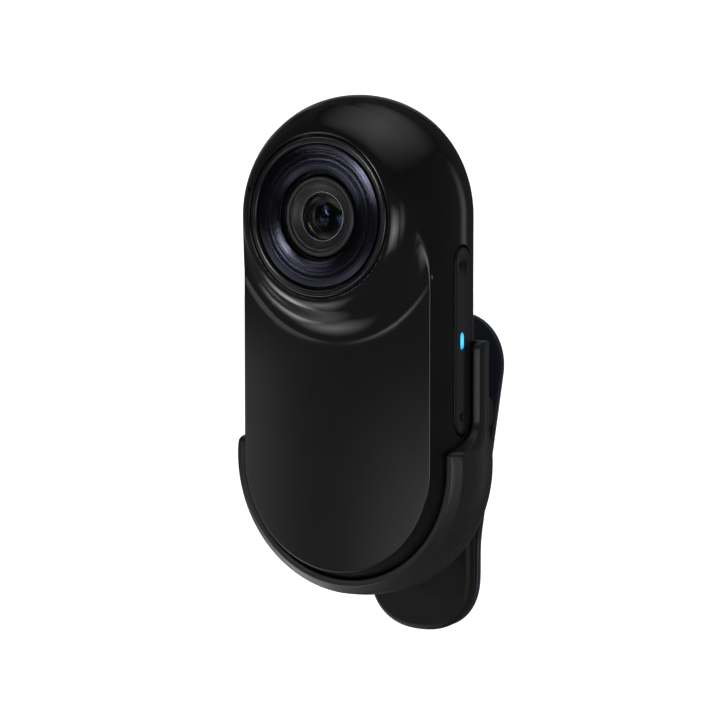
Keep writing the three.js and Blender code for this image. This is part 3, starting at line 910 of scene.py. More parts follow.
def shell_outside():
    """The body's outside as one closed solid, its head raised from a flat round-ended slab."""
    settings = camera_settings()
    panel_r = settings.panel_radius
    wall = at_depths(wall_profile())
    insets = [0.0, 0.03, 0.07, 0.12, 0.18, 0.25, 0.33, 0.45, 0.6, 0.8, 1.0, 1.25]
    insets += [1.25 + 0.25 * i for i in range(1, 18)]
    insets += [5.6 + 0.68 * i for i in range(16)]
    front = [(panel_r - inset, behind(0)) for inset in insets] + [(0, behind(0))]
    bm, *_ = round_ended_body(wall + front, LOWER_Z, LENS_Z, 96, 90)
    bmesh.ops.remove_doubles(bm, verts=bm.verts, dist=5e-3)
    bmesh.ops.contextual_create(bm, geom=[edge for edge in bm.edges if edge.is_boundary])
    for vert in bm.verts:
        if abs(vert.co.y - behind(0)) < 1e-5:
            height = front_height(vert.co.x, vert.co.z, settings.foot_softness)
            vert.co.y = ahead(height - edge_drop(vert.co.x, vert.co.z))
    return bm


def on_side_wall(bm, side, centre_z):
    """Turns a shape that faces -Y onto the crest of a side wall."""
    turn = Matrix.Rotation(side * math.pi / 2, 4, "Z")
    place = (side * camera_settings().crown_radius, behind(SIDE_DEPTH), centre_z)
    bmesh.ops.transform(bm, matrix=Matrix.Translation(place) @ turn, verts=bm.verts)
    return bm


def side_pocket(side, length, centre_z):
    """The pocket that a side plate lies in, its mouth a little broken."""
    half = KEY_WIDTH / 2 + SIDE_GAP
    reach = length / 2 - KEY_WIDTH / 2
    profile = [(half + 0.5, -0.4), (half + 0.12, 0.0), (half, 0.12), (half, POCKET_DEPTH)]
    return on_side_wall(closed_round_ended(profile, -reach, reach, 16, 2), side, centre_z)


def port_hinge_rod(reach, radius, segments, chamfer=0.0):
    """A rod along the port cover's hinge, as wide as its reach each way."""
    ends = [(x, PORT_HINGE_DEPTH, 0) for x in (-reach, reach)]
    return rod(*ends, radius, segments, chamfer)


def shell_cutters():
    """What is cut out of the shell: its room, seats, lens opening, pockets and holes."""
    room_r = 15.2
    y = behind(SIDE_DEPTH)
    room = [(room_r, behind(1.3)), (room_r, behind(10.3))]
    seat = [(16.12, behind(12.0)), (16.12, behind(11.42))]
    seat += [(16.0, behind(11.3)), (16.0, behind(10.2))]
    head = [(0, 2.9), (12.3, 2.9), (14.6, 0), (14.6, -2), (0, -2)]
    opening = [(0, 6), (12.6, 6), (12.42, 5.12), (12.15, 4.86)]
    opening += [(12.15, 3.75), (6.3, 3.75), (6.3, 2), (0, 2)]
    hinge_place = on_side_wall(port_hinge_rod(2.5, 1.75, 24), -1, PORT_HINGE_Z)
    return [
        closed_round_ended(room, LOWER_Z, LENS_Z, 32, 2),
        closed_round_ended(seat, LOWER_Z, LENS_Z, 64, 2),
        turned(at_heights(head), 64),
        turned(at_heights(opening), 192),
        rod((-12.3, ahead(6), LENS_Z + 4), (-12.3, ahead(-1), LENS_Z + 4), 0.35, 20),
        side_pocket(1, KEY_LENGTH, KEY_Z),
        side_pocket(-1, PORT_LENGTH, PORT_Z),
        block((12, y - 1, KEY_Z - 1.55), (19, y + 1, KEY_Z + 1.55)),
        block((-19, y - 1.9, PORT_Z - 4.7), (-12, y + 1.9, PORT_Z + 4.7)),
        hinge_place,
    ]


def build_front_shell():
    bosses = [rod((x, behind(0.8), z), (x, behind(9.6), z), 1.9, 20) for x, z in SCREW_PLACES]
    bores = [rod((x, behind(3.5), z), (x, behind(12), z), 0.95, 16) for x, z in SCREW_PLACES]
    hollow = carve(shell_outside(), shell_cutters())
    bm = carve(hollow, bores, bosses)
    place_piece(bm, "camera_shell", "camera", "shell_plastic", ["front_shell"], sharp=42.0)


def build_rear_cover():
    profile = [(15.72, 10.45), (15.72, 11.22), (15.66, 11.36), (15.5, 11.44), (15.3, 11.46)]
    cover = closed_round_ended(at_depths(profile), LOWER_Z, LENS_Z, 64, 2)
    cutters = []
    for x, z in SCREW_PLACES:
        cutters.append(rod((x, behind(10), z), (x, behind(12), z), 1.0, 24))
        recess = [(0, 10.85), (1.75, 10.85), (1.75, 11.36), (1.9, 11.6), (0, 11.6)]
        cutters.append(turned(at_depths(recess), 32, (x, 0, z)))
    for row in range(5):
        z = LENS_Z - 4.0 + row * 1.6
        slot = [(0.32, behind(11.15)), (0.32, behind(11.4)), (0.42, behind(11.6))]
        grille = closed_round_ended(slot, -2.6, 2.6, 8, 2)
        bmesh.ops.rotate(grille, matrix=Matrix.Rotation(math.pi / 2, 3, "Y"), verts=grille.verts)
        bmesh.ops.translate(grille, vec=(7.0, 0, z), verts=grille.verts)
        cutters.append(grille)
    place_piece(carve(cover, cutters), "rear_plate", "camera", "shell_plastic", ["rear_cover"])


def build_housing_screws():
    for i, (x, z) in enumerate(SCREW_PLACES):
        bm = screw_mesh(1.45, 11.4, 0.4, 0.65, 4.5, x, z)
        name, node = "cover_screw_%d" % (i + 1), "housing_screw_%d" % (i + 1)
        place_piece(bm, name, "camera", "steel", [node])


def screw_mesh(head_r, head_depth, head_height, shaft_r, tip_depth, x, z):
    """A pan-head screw along Y with a crosswise recess in its head."""
    neck = head_depth - head_height
    profile = [(0, tip_depth), (shaft_r * 0.6, tip_depth)]
    profile += [(shaft_r, tip_depth + 0.5), (shaft_r, neck)]
    profile += [(head_r, neck), (head_r, head_depth - head_height * 0.45)]
    profile += [(head_r * 0.8, head_depth - head_height * 0.1), (head_r * 0.5, head_depth)]
    profile.append((0, head_depth))
    bm = turned(at_depths(profile), 32, (x, 0, z))
    wide, long, deep = head_r * 0.16, head_r * 0.62, head_height * 0.6
    low_y, high_y = behind(head_depth - deep), behind(head_depth + 0.3)
    cross = [
        block((x - wide, low_y, z - long), (x + wide, high_y, z + long)),
        block((x - long, low_y, z - wide), (x + long, high_y, z + wide)),
    ]
    return carve(bm, cross)


# ---- Lens


def build_bezel():
    section = [(10.85, 4.05), (10.85, 4.86), (10.9, 4.95), (11.0, 5.0), (11.35, 5.02), (11.68, 5.0)]
    section += [(11.8, 4.95), (11.88, 4.86), (11.9, 4.75), (11.9, 4.05)]
    bm = turned(at_heights(section), 192, closed=True)
    place_piece(bm, "bezel_ring", "camera", "bezel_gloss", ["lens_bezel"])


def build_trim_ring():
    section = [(6.65, 4.05), (6.65, 4.6), (6.68, 4.68), (6.76, 4.72), (8.0, 4.76), (9.3, 4.78)]
    section += [(10.4, 4.79), (10.5, 4.76), (10.54, 4.7), (10.55, 4.6), (10.55, 4.05)]
    bm = turned(at_heights(section), 192, closed=True)
    place_piece(bm, "trim_plate", "camera", "trim_metal", ["trim_ring"])


def build_lens_ring():
    section = [(3.78, 2.1), (3.78, 3.5), (3.88, 3.58), (4.0, 3.6), (4.7, 4.02)]
    section += [(4.8, 4.08), (5.08, 4.1)]
    section += [(5.14, 4.0), (5.2, 4.0), (5.26, 4.2), (5.34, 4.33), (5.45, 4.36), (5.7, 4.36)]
    section += [(5.84, 4.33), (5.93, 4.24), (5.95, 4.1), (5.95, 2.1)]
    bm = turned(at_heights(section), 160, closed=True)
    place_piece(bm, "lens_cell", "camera", "ring_metal", ["lens_front_ring"])


def build_front_glass():
    curve = [(0, 3.95), (0.6, 3.93), (1.2, 3.88), (1.8, 3.79), (2.3, 3.67)]
    curve += [(2.75, 3.53), (3.1, 3.38)]
    curve += [(3.38, 3.2), (3.45, 3.1), (3.45, 2.3), (2.6, 2.42), (1.4, 2.52), (0, 2.56)]
    bm = turned(at_heights(curve), 96)
    place_piece(bm, "front_element", "camera", "lens_glass", ["front_lens"], "front_glass", 50.0)


def build_lens_inside():
    """The barrel's blackened steps, a bright retaining ring and two more elements."""
    tube = [(4.1, 1.8), (5.6, 1.8), (5.6, -6.4), (4.1, -6.4)]
    bm = turned(at_heights(tube), 64, closed=True)
    place_piece(bm, "barrel_tube", "camera", "bezel_gloss", ["lens_barrel"], "barrel")
    steps = [(2.05, 1.95), (2.25, 2.05), (3.4, 2.05), (3.7, 1.95), (4.0, 1.75)]
    steps += [(4.0, 0.6), (3.3, 0.4)]
    steps += [(2.9, 1.0), (2.5, 1.1), (2.2, 1.5)]
    bm = turned(at_heights(steps), 96, closed=True)
    place_piece(bm, "barrel_steps", "camera", "bezel_gloss", [], "barrel")
    seat = [(3.5, 3.02), (3.5, 3.42), (3.56, 3.52), (3.68, 3.52), (3.73, 3.46), (3.73, 3.02)]
    bm = turned(at_heights(seat), 128, closed=True)
    place_piece(bm, "retaining_ring", "camera", "ring_metal", [], "bright_ring")
    for name, ring_r, height in (("aperture_ring", 2.06, 1.6), ("middle_ring", 2.85, 1.12)):
        inner = [(-0.08, -0.05), (-0.08, 0.18), (-0.02, 0.25), (0.08, 0.2), (0.08, -0.05)]
        bm = turned([(ring_r + r, ahead(height + h)) for r, h in inner], 96, closed=True)
        place_piece(bm, name, "camera", "ring_metal", [], "bright_ring")
    dome = [(0, 2.2), (0.7, 2.13), (1.3, 1.92), (1.75, 1.6), (1.95, 1.35), (1.95, 0.2), (0, 0.2)]
    bm = turned(at_heights(dome), 64)
    place_piece(bm, "second_element", "camera", "lens_glass", [], "dark_element", 50.0)
    back = [(0, -0.62), (1.5, -0.7), (2.8, -0.95), (3.6, -1.28), (3.8, -1.4)]
    back += [(3.8, -2.3), (0, -2.3)]
    bm = turned(at_heights(back), 64)
    place_piece(bm, "third_element", "camera", "lens_glass", ["inner_lens"], "dark_element", 50.0)
    stop = [(0.9, -0.05), (3.95, -0.05), (3.95, -0.35), (0.9, -0.35)]
    bm = turned(at_heights(stop), 64, closed=True)
    place_piece(bm, "aperture_stop", "camera", "bezel_gloss", [], "barrel")


# ---- Keys and port


def build_key_bar():
    half = KEY_WIDTH / 2
    reach = KEY_LENGTH / 2 - half
    profile = [(half, 1.0), (half, 0.18), (half - 0.05, 0.07)]
    profile += [(half - 0.16, 0.0), (half - 0.35, -0.02)]
    profile += [(half - 0.9, 0.02), (half - 1.5, 0.05)]
    bar = on_side_wall(closed_round_ended(profile, -reach, reach, 24, 8), 1, KEY_Z)
    hole = [(0.72, -1.0), (0.66, 0.08), (0.62, 0.16), (0.62, 1.4)]
    window = closed_round_ended(hole, -0.72, 0.72, 16, 2)
    dimple = [(0, -0.3), (1.02, -0.3), (0.94, -0.01), (0.86, 0.05), (0.7, 0.12)]
    dimple += [(0.4, 0.2), (0, 0.24)]
    groove = [(0.62, -0.2), (0.62, 0.1), (0.8, 0.1), (0.8, -0.2)]
    cutters = [
        on_side_wall(window, 1, KEY_Z),
        on_side_wall(turned(dimple, 40, (0, 0, 0)), 1, KEY_Z + SWITCH_OFFSET),
        on_side_wall(turned(groove, 40, (0, 0, 0), True), 1, KEY_Z - SWITCH_OFFSET),
    ]
    bm = carve(bar, cutters)
    place_piece(bm, "key_bar_plate", "key", "shell_plastic", ["key_bar"], "key_satin")


def build_key_marks():
    """A raised dot in the upper dimple's middle, and the lower key's nub."""
    marks = (("upper_key_dot", 1, 0.3, -0.02), ("lower_key_dot", -1, 0.55, -0.14))
    for name, way, radius, lift in marks:
        dot = [(0, lift), (radius * 0.5, lift + 0.01), (radius * 0.85, lift + 0.05)]
        dot += [(radius, lift + 0.12), (radius, 0.3), (0, 0.3)]
        bm = on_side_wall(turned(dot, 32, (0, 0, 0)), 1, KEY_Z + way * SWITCH_OFFSET)
        place_piece(bm, name, "key", "shell_plastic", [], "key_satin")


def build_status_light():
    profile = [(0.3, 0.12), (0.5, 0.16), (0.6, 0.28), (0.6, 2.9)]
    bm = on_side_wall(closed_round_ended(profile, -0.7, 0.7, 16, 2), 1, KEY_Z)
    place_piece(bm, "status_window", "camera", "status_blue", ["light_pipe"])


def build_port_cover():
    half = KEY_WIDTH / 2
    reach = PORT_LENGTH / 2 - half
    profile = [(half, 1.1), (half, 0.16), (half - 0.06, 0.06)]
    profile += [(half - 0.18, 0.0), (half - 0.4, -0.02)]
    cover = on_side_wall(closed_round_ended(profile, -reach, reach, 24, 2), -1, PORT_Z)
    bore = on_side_wall(port_hinge_rod(4, 0.5, 20), -1, PORT_HINGE_Z)
    notch = closed_round_ended([(0.42, -0.6), (0.36, 0.05), (0.28, 0.3)], -0.9, 0.9, 10, 2)
    bmesh.ops.rotate(notch, matrix=Matrix.Rotation(math.pi / 2, 3, "Y"), verts=notch.verts)
    notch = on_side_wall(notch, -1, PORT_Z + PORT_LENGTH / 2 - 1.6)
    bm = carve(cover, [bore, notch])
    place_piece(bm, "port_flap", "port_door", "shell_plastic", ["port_cover"], "key_satin")
    pin = on_side_wall(port_hinge_rod(2.8, 0.4, 20, 0.06), -1, PORT_HINGE_Z)
    place_piece(pin, "port_pin", "camera", "steel", ["port_hinge_pin"])


def socket_block(low_x, high_x, half_depth, half_length, rounding):
    """A block that lies along X behind the port, with its four long edges rounded."""
    y = behind(SIDE_DEPTH)
    low = (low_x, y - half_depth, PORT_Z - half_length)
    high = (high_x, y + half_depth, PORT_Z + half_length)
    bm = block(low, high)
    bevel(bm, [e for e in bm.edges if abs(e.verts[0].co.x - e.verts[1].co.x) > 1], rounding, 6)
    return bm


def build_charging_socket():
    y = behind(SIDE_DEPTH)
    can = socket_block(-16.3, -9.2, 1.5, 4.45, 1.25)
    mouth = socket_block(-17, -10, 1.2, 4.1, 1.05)
    place_piece(carve(can, [mouth]), "socket_can", "camera", "steel", ["charging_socket"])
    tongue = block((-15.7, y - 0.3, PORT_Z - 3.3), (-9.8, y + 0.3, PORT_Z + 3.3), 0.12, 2)
    place_piece(tongue, "socket_tongue", "camera", "chip", [])


# ---- Cradle

CRADLE_FLOOR = 11.85
CRADLE_BACK = 13.3
RIM_DEPTH = 2.2
ARM_FRONT = 9.2
ARM_OUTER_R = 19.75
CRADLE_GAP = 0.35
CRADLE_WIDEST_R = 20.85
RIM_TURN = 0.9
RIM_SWEEP = 1.7
SWEEP_HEIGHT = 4.2
ARM_NOSE_R = 1.2
ARM_CROWN_R = 0.45
HUB_R = 8.8


def rim_depth_at(z):
    """Depth of the cradle wall's front edge at a height: low cup, hollow sweep, slim arms."""
    settings = cradle_settings()
    above = z - settings.shoulder_z
    top = settings.arm_top_z
    if above < -RIM_TURN:
        depth = RIM_DEPTH
    elif above < 0.0:
        share = (above + RIM_TURN) / RIM_TURN
        depth = RIM_DEPTH + RIM_SWEEP * (1 - math.sqrt(max(0.0, 1 - share * share)))
    elif above < SWEEP_HEIGHT:
        share = above / SWEEP_HEIGHT
        depth = ARM_FRONT - (ARM_FRONT - RIM_DEPTH - RIM_SWEEP) * (1 - share) ** 2.6
    else:
        depth = ARM_FRONT
    if z > top - ARM_NOSE_R:
        share = min(1.0, (z - top + ARM_NOSE_R) / ARM_NOSE_R)
        depth += ARM_NOSE_R * (1 - math.sqrt(max(0.0, 1 - share * share)))
    return depth


def cradle_section():
    """The cradle's section as (radius, depth), from the floor over the rim to the back."""
    inner = camera_settings().crown_radius + CRADLE_GAP
    floor = [(r, CRADLE_FLOOR) for r in (0.0, 6.0, 12.0, 16.0, 17.6, inner - 0.3)]
    inside = [(inner - 0.08, 11.75), (inner, 11.5), (inner, 9.5), (inner, 7.0), (inner - 0.08, 5.4)]
    inside += [(inner - 0.26, 4.1), (inner - 0.46, 3.1)]
    lip = [(inner - 0.6, 2.55), (inner - 0.56, 2.33), (inner - 0.42, 2.22), (inner - 0.25, 2.2)]
    face = [(18.5, 2.2), (18.72, 2.21), (18.86, 2.26), (18.98, 2.35)]
    fillet = [(19.3, 2.64), (19.7, 3.01), (20.06, 3.35), (20.18, 3.48), (20.25, 3.62), (20.3, 3.85)]
    side = [(20.4, 4.4), (20.55, 5.2), (20.7, 6.1), (20.8, 7.2), (CRADLE_WIDEST_R, 8.4)]
    side += [(20.84, 9.6), (20.75, 10.6)]
    heel = [(20.6, 11.3), (20.4, 11.95), (20.12, 12.5), (19.75, 12.92), (19.3, 13.19)]
    heel.append((18.8, CRADLE_BACK))
    back = [(r, CRADLE_BACK) for r in (17.0, 13.0, 8.0, 4.0, 0.0)]
    return floor + inside + lip + face + fillet + side + heel + back


def shape_cradle_vert(co):
    """Moves a vertex of the plain cup to its wall height, arm width and rounded arm top."""
    settings = cradle_settings()
    z = co.z
    depth = co.y - PANEL_Y
    inner_back = camera_settings().crown_radius + CRADLE_GAP
    share_up = ease(z, settings.shoulder_z - 2.4, settings.shoulder_z + 3.6)
    outer = max(0.0, (abs(co.x) - inner_back) / (CRADLE_WIDEST_R - inner_back))
    if z > LOWER_Z and outer > 0:
        widest = CRADLE_WIDEST_R + (ARM_OUTER_R - CRADLE_WIDEST_R) * share_up
        width = inner_back + outer * (widest - inner_back)
        co.x = math.copysign(width, co.x)
    if depth < CRADLE_FLOOR and z > LOWER_Z:
        squeeze = (CRADLE_FLOOR - rim_depth_at(z)) / (CRADLE_FLOOR - RIM_DEPTH)
        depth = CRADLE_FLOOR - (CRADLE_FLOOR - depth) * squeeze
        if abs(co.x) < inner_back and abs(co.x) > 16.5:
            co.x = math.copysign(abs(co.x) + (inner_back - abs(co.x)) * share_up, co.x)
    crown = settings.arm_top_z - ARM_CROWN_R
    if z > crown:
        drop = ARM_CROWN_R - math.sqrt(max(0.0, ARM_CROWN_R**2 - (z - crown) ** 2))
        if depth > CRADLE_FLOOR + 0.7:
            depth -= drop * (depth - CRADLE_FLOOR - 0.7) / 0.75
        if abs(co.x) > inner_back + 0.6:
            co.x = math.copysign(abs(co.x) - drop, co.x)
    co.y = PANEL_Y + depth


def cradle_heights():
    """Heights of the wall's rings, close together where its front edge bends."""
    settings = cradle_settings()
    shoulder, top = settings.shoulder_z, settings.arm_top_z
    heights = [LOWER_Z + 0.5 * i for i in range(1, 4)]
    heights += [shoulder - RIM_TURN + 0.06 * i for i in range(0, 16)]
    heights += [shoulder + 0.12 * i for i in range(1, 36)]
    heights += [shoulder + 4.3 + 0.8 * i for i in range(0, 12)]
    heights += [top - 1.3 + 0.08 * i for i in range(0, 11)]
    heights += [top - ARM_CROWN_R + 0.05 * i for i in range(0, 9)] + [top]
    return sorted(set(round(h, 4) for h in heights if LOWER_Z < h <= top))


def cradle_wall():
    """Sweeps the section round the lower end and up both sides."""
    section = cradle_section()
    bm = bmesh.new()
    verts = [bm.verts.new((-r, behind(d), LOWER_Z)) for r, d in section]
    edges = [bm.edges.new(pair) for pair in zip(verts, verts[1:])]
    spun = bmesh.ops.spin(
        bm,
        geom=verts + edges,
        cent=(0, 0, LOWER_Z),
        axis=(0, -1, 0),
        angle=math.pi,
        steps=96,
        space=Matrix(),
    )["geom_last"]
    for side_edges in (edges, new_edges(spun)):
        last = side_edges
        z = LOWER_Z
        for height in cradle_heights():
            made = bmesh.ops.extrude_edge_only(bm, edges=last)["geom"]
            moved = new_verts(made)
            bmesh.ops.translate(bm, vec=(0, 0, height - z), verts=moved)
            moved_set = set(moved)
            last = [e for e in new_edges(made) if all(v in moved_set for v in e.verts)]
            z = height
    bmesh.ops.remove_doubles(bm, verts=bm.verts, dist=1e-3)
    for vert in bm.verts:
        shape_cradle_vert(vert.co)
    rim = [e for e in bm.edges if e.is_boundary]
    bmesh.ops.contextual_create(bm, geom=rim)
    bmesh.ops.recalc_face_normals(bm, faces=bm.faces)
    return bm


def build_cradle():
    settings = cradle_settings()
    hub = [(0, 12.8), (HUB_R - 0.2, 12.8), (HUB_R - 0.2, 14.8)]
    hub += [(HUB_R - 0.27, 14.93), (HUB_R - 0.4, 15.0), (0, 15.0)]
    joined = [turned(at_depths(hub), 96, (0, 0, LOWER_Z))]
    for side in (-1, 1):
        low, high = [(side * 18.72, behind(11), settings.arm_top_z - drop) for drop in (7, 2)]
        joined.append(rod(low, high, 0.45, 16))
    bore = rod((0, behind(10), LOWER_Z), (0, behind(16), LOWER_Z), 1.8, 32)
    bm = carve(cradle_wall(), [bore], joined)
    place_piece(bm, "cradle_cup", "cradle", "cradle_plastic", ["cradle_shell"], sharp=32.0)


def build_swivel():
    disc = [(2.6, 15.03), (7.9, 15.03), (8.0, 15.13), (8.0, 16.07), (7.9, 16.17), (2.6, 16.17)]
    bm = turned(at_depths(disc), 96, (0, 0, LOWER_Z), True)
    place_piece(bm, "swivel_wear_disc", "cradle", "inner_plastic", ["swivel_disc"])
    washer = [(1.8, 21.82), (3.1, 21.95), (3.2, 22.05), (3.2, 22.18), (1.8, 22.05)]
    bm = turned(at_depths(washer), 48, (0, 0, LOWER_Z), True)
    place_piece(bm, "spring_washer", "cradle", "steel", ["swivel_washer"])
    bm = screw_mesh(3.1, 24.1, 1.6, 1.45, 12.6, 0, LOWER_Z)
    place_piece(bm, "swivel_bolt", "cradle", "steel", ["swivel_screw"])


# ---- Clip

JAW_FRONT = 24.4
JAW_BACK = 26.3
JAW_HALF_WIDTH = 9.55
JAW_LOW_Z = LOWER_Z - 19.6
JAW_HIGH_Z = LOWER_Z + 7.9
JAW_SQUARENESS = 2.35
HINGE_BORE_R = 0.85
LEVER_TILT = math.radians(15.5)
LEVER_BACK = 28.05
LEVER_BEND_Z = LOWER_Z - 14.5
LEVER_BEND_REACH = 2.0
LEVER_LOW_Z = JAW_LOW_Z + 0.1
LEVER_HIGH_Z = LOWER_Z + 11.4


def square_lower_end(bm, low_z):
    """Fills the corners of a plate's lower round end a little."""
    power = 2.0 / JAW_SQUARENESS
    for vert in bm.verts:
        if vert.co.z < low_z - 1e-6:
            down = low_z - vert.co.z
            radius = math.hypot(vert.co.x, down)
            across = math.copysign((abs(vert.co.x) / radius) ** power, vert.co.x)
            vert.co.x = radius * across
            vert.co.z = low_z - radius * (down / radius) ** power


def jaw_plate():
    half = JAW_HALF_WIDTH
    profile = [(half - 0.25, JAW_BACK), (half - 0.07, JAW_BACK - 0.08)]
    profile += [(half, JAW_BACK - 0.25), (half, 25.6)]
    edge = [(half - 1.2 + x, JAW_FRONT + 1.2 + y) for x, y in arc((0, 0), 1.2, 0, -90, 10)]
    profile += edge + [(half - 3.0, JAW_FRONT), (half - 6.0, JAW_FRONT)]
    bm = closed_round_ended(at_depths(profile), JAW_LOW_Z, JAW_HIGH_Z, 48, 24)
    square_lower_end(bm, JAW_LOW_Z)
    return bm


def hinge_axis_rod(low_x, high_x, radius, segments, chamfer=0.0):
    """A rod along the clip's hinge axis."""
    ends = [(x, behind(HINGE_DEPTH), HINGE_Z) for x in (low_x, high_x)]
    return rod(*ends, radius, segments, chamfer)


def hinge_lug(low_x, high_x, radius, root_depth):
    """A lug round the hinge pin with a root that runs to the plate that carries it."""
    eye = hinge_axis_rod(low_x, high_x, radius, 40, 0.15)
    near, far = sorted((behind(root_depth), behind(HINGE_DEPTH)))
    root = block((low_x, near, HINGE_Z - radius), (high_x, far, HINGE_Z + radius), 0.12, 2)
    return [eye, root]


def build_front_jaw():
    boss = [(0, 16.2), (HUB_R - 0.15, 16.2), (HUB_R, 16.35), (HUB_R, 23.7)]
    boss += [(HUB_R + 0.25, 24.2), (HUB_R + 0.7, 24.6), (0, 24.7)]
    joined = [turned(at_depths(boss), 96, (0, 0, LOWER_Z))]
    for low_x, high_x in ((7.75, 9.4), (-9.4, -7.75)):
        joined += hinge_lug(low_x, high_x, 2.85, JAW_BACK - 0.3)
    cutters = [
        hinge_axis_rod(-12, 12, HINGE_BORE_R, 24),
        rod((0, behind(15), LOWER_Z), (0, behind(27), LOWER_Z), 1.9, 24),
        rod((0, behind(21.5), LOWER_Z), (0, behind(27), LOWER_Z), 3.6, 48),
        block((-6.3, behind(25.4), JAW_LOW_Z - 4.3), (6.3, behind(27), JAW_LOW_Z + 2.3), 0.3, 2),
    ]
    bm = carve(jaw_plate(), cutters, joined)
    place_piece(bm, "clip_front_jaw", "clip", "clip_plastic", ["front_jaw"], sharp=32.0)


def build_grip_pad():
    """A rubber pad with cross ribs that bite into cloth."""
    bm = block((-6, behind(25.7), JAW_LOW_Z - 4), (6, behind(26.3), JAW_LOW_Z + 2), 0.1, 1)
    ribs = []
    for i in range(5):
        z = JAW_LOW_Z - 3.3 + 1.15 * i
        ribs.append(rod((-5.7, behind(26.2), z), (5.7, behind(26.2), z), 0.3, 12))
    place_piece(carve(bm, (), ribs), "ribbed_grip_pad", "clip", "rubber", ["grip_pad"])


def lever_plate():
    """A thin plate with rounded rims, leant back above its bend."""
    half, thick = JAW_HALF_WIDTH, 1.04
    rim = 0.32
    front = [(r, 0.0) for r in (half - 6.5, half - 3.0, half - 1.2, half - rim)]
    edge = [(half - rim + x, rim + y) for x, y in arc((0, 0), rim, -90, 0, 4)][1:]
    far = [(half - rim + x, thick - rim + y) for x, y in arc((0, 0), rim, 0, 90, 4)]
    back = [(r, thick) for r in (half - 1.2, half - 3.0, half - 6.5)]
    across = [(1.0, 0.0), *front, *edge, *far, *back, (0.05, thick)]
    profile = [(r, behind(LEVER_BACK - thick + d)) for r, d in across]
    bm = closed_round_ended(profile, LEVER_LOW_Z, LEVER_HIGH_Z, 48, 60)
    square_lower_end(bm, LEVER_LOW_Z)
    for vert in bm.verts:
        over = vert.co.z - LEVER_BEND_Z
        if abs(over) <= LEVER_BEND_REACH:
            over = (over + LEVER_BEND_REACH) ** 2 / (4 * LEVER_BEND_REACH)
        vert.co.y += max(over, 0.0) * math.tan(LEVER_TILT)
    return bm


def build_lever():
    joined = []
    for low_x, high_x in ((5.9, 7.45), (-7.45, -5.9)):
        joined += hinge_lug(low_x, high_x, 2.3, 32.6)
    bore = hinge_axis_rod(-12, 12, HINGE_BORE_R, 24)
    bm = carve(lever_plate(), [bore], joined)
    place_piece(bm, "clip_back_lever", "lever", "lever_plastic", ["clip_lever"], sharp=32.0)


def build_hinge_pin():
    bm = hinge_axis_rod(-9.3, 9.3, 0.75, 32, 0.15)
    place_piece(bm, "hinge_rod", "clip", "steel", ["hinge_pin"], "dark_steel")


def build_spring():
    """Wire wound round the hinge pin, with one leg that lies on the jaw."""
    coil_r, turns, wire = 1.75, 6, 0.3
    y, z = behind(HINGE_DEPTH), HINGE_Z
    leg = ((-4.62, 4.9), (-4.58, 3.2), (-4.5, 1.4))
    points = [(x, y - coil_r, z + up) for x, up in leg]
    steps = 24 * turns
    for i in range(steps + 1):
        angle = math.pi + math.tau * turns * i / steps
        x = -4.4 + 8.8 * i / steps
        points.append((x, y + coil_r * math.cos(angle), z + coil_r * math.sin(angle)))
    curve = bpy.data.curves.new("spring_line", "CURVE")
    curve.dimensions = "3D"
    curve.bevel_depth = wire * MM
    curve.bevel_resolution = 3
    curve.use_fill_caps = True
    spline = curve.splines.new("POLY")
    spline.points.add(len(points) - 1)
    for point, place in zip(spline.points, points):
        point.co = (*(c * MM for c in place), 1.0)
    helper = bpy.data.objects.new("spring_work", curve)
    bpy.context.scene.collection.objects.link(helper)
    bm = worked_out(helper)
    bpy.data.objects.remove(helper)
    bmesh.ops.scale(bm, vec=(1 / MM,) * 3, verts=bm.verts)
    bmesh.ops.remove_doubles(bm, verts=bm.verts, dist=1e-4)
    piece = place_piece(bm, "jaw_spring", None, "steel", ["torsion_spring"], "dark_steel", 60.0)
    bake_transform(piece)


# ---- Carried-over parts


def paint_carried_parts():
    """Gives every frame part that still shows the finish of its slot."""
    rows = frame["record"]["subparts"]
    slots = {row["node"]: row["material_slot"] for row in rows}
    for name, part in frame["nodes"].items():
        material = finish_named(slots[name])
        part.data.materials.clear()
        part.data.materials.append(material)


# ---- Stage

TARGET = (0.004394, -0.0266, 0.039856)  # in metres, as every length of the stage
DISTANCE = 0.380
LENS_LENGTH_MM = 127.675
SENSOR_WIDTH_MM = 36.0
FLOOR_Z = -0.0056
FLOOR_HALF_WIDTH = 2.5
FLOOR_FRONT_Y = -3.0
SWEEP_Y = 0.9
SWEEP_RADIUS = 0.7
WALL_TOP_Z = 3.2
ROOM_GLOW = 0.04


def direction(azimuth, elevation):
    """The way out from the object at an azimuth and an elevation, in radians."""
    level = math.cos(elevation)
    return Vector((math.sin(azimuth) * level, -math.cos(azimuth) * level, math.sin(elevation)))


def stage_finish():
    paint = Paint("stage_white", Roughness=0.9, Specular_IOR_Level=0.1, Emission_Strength=1.0)
    where = paint.place()
    faint = paint.noise(where, 0.01, 2.0)
    white = paint.ramp(faint, [(0.3, (0.93, 0.93, 0.93)), (0.7, (0.95, 0.95, 0.95))])
    paint.feed("Base Color", white)
    paint.feed("Emission Color", white)
    return paint.material


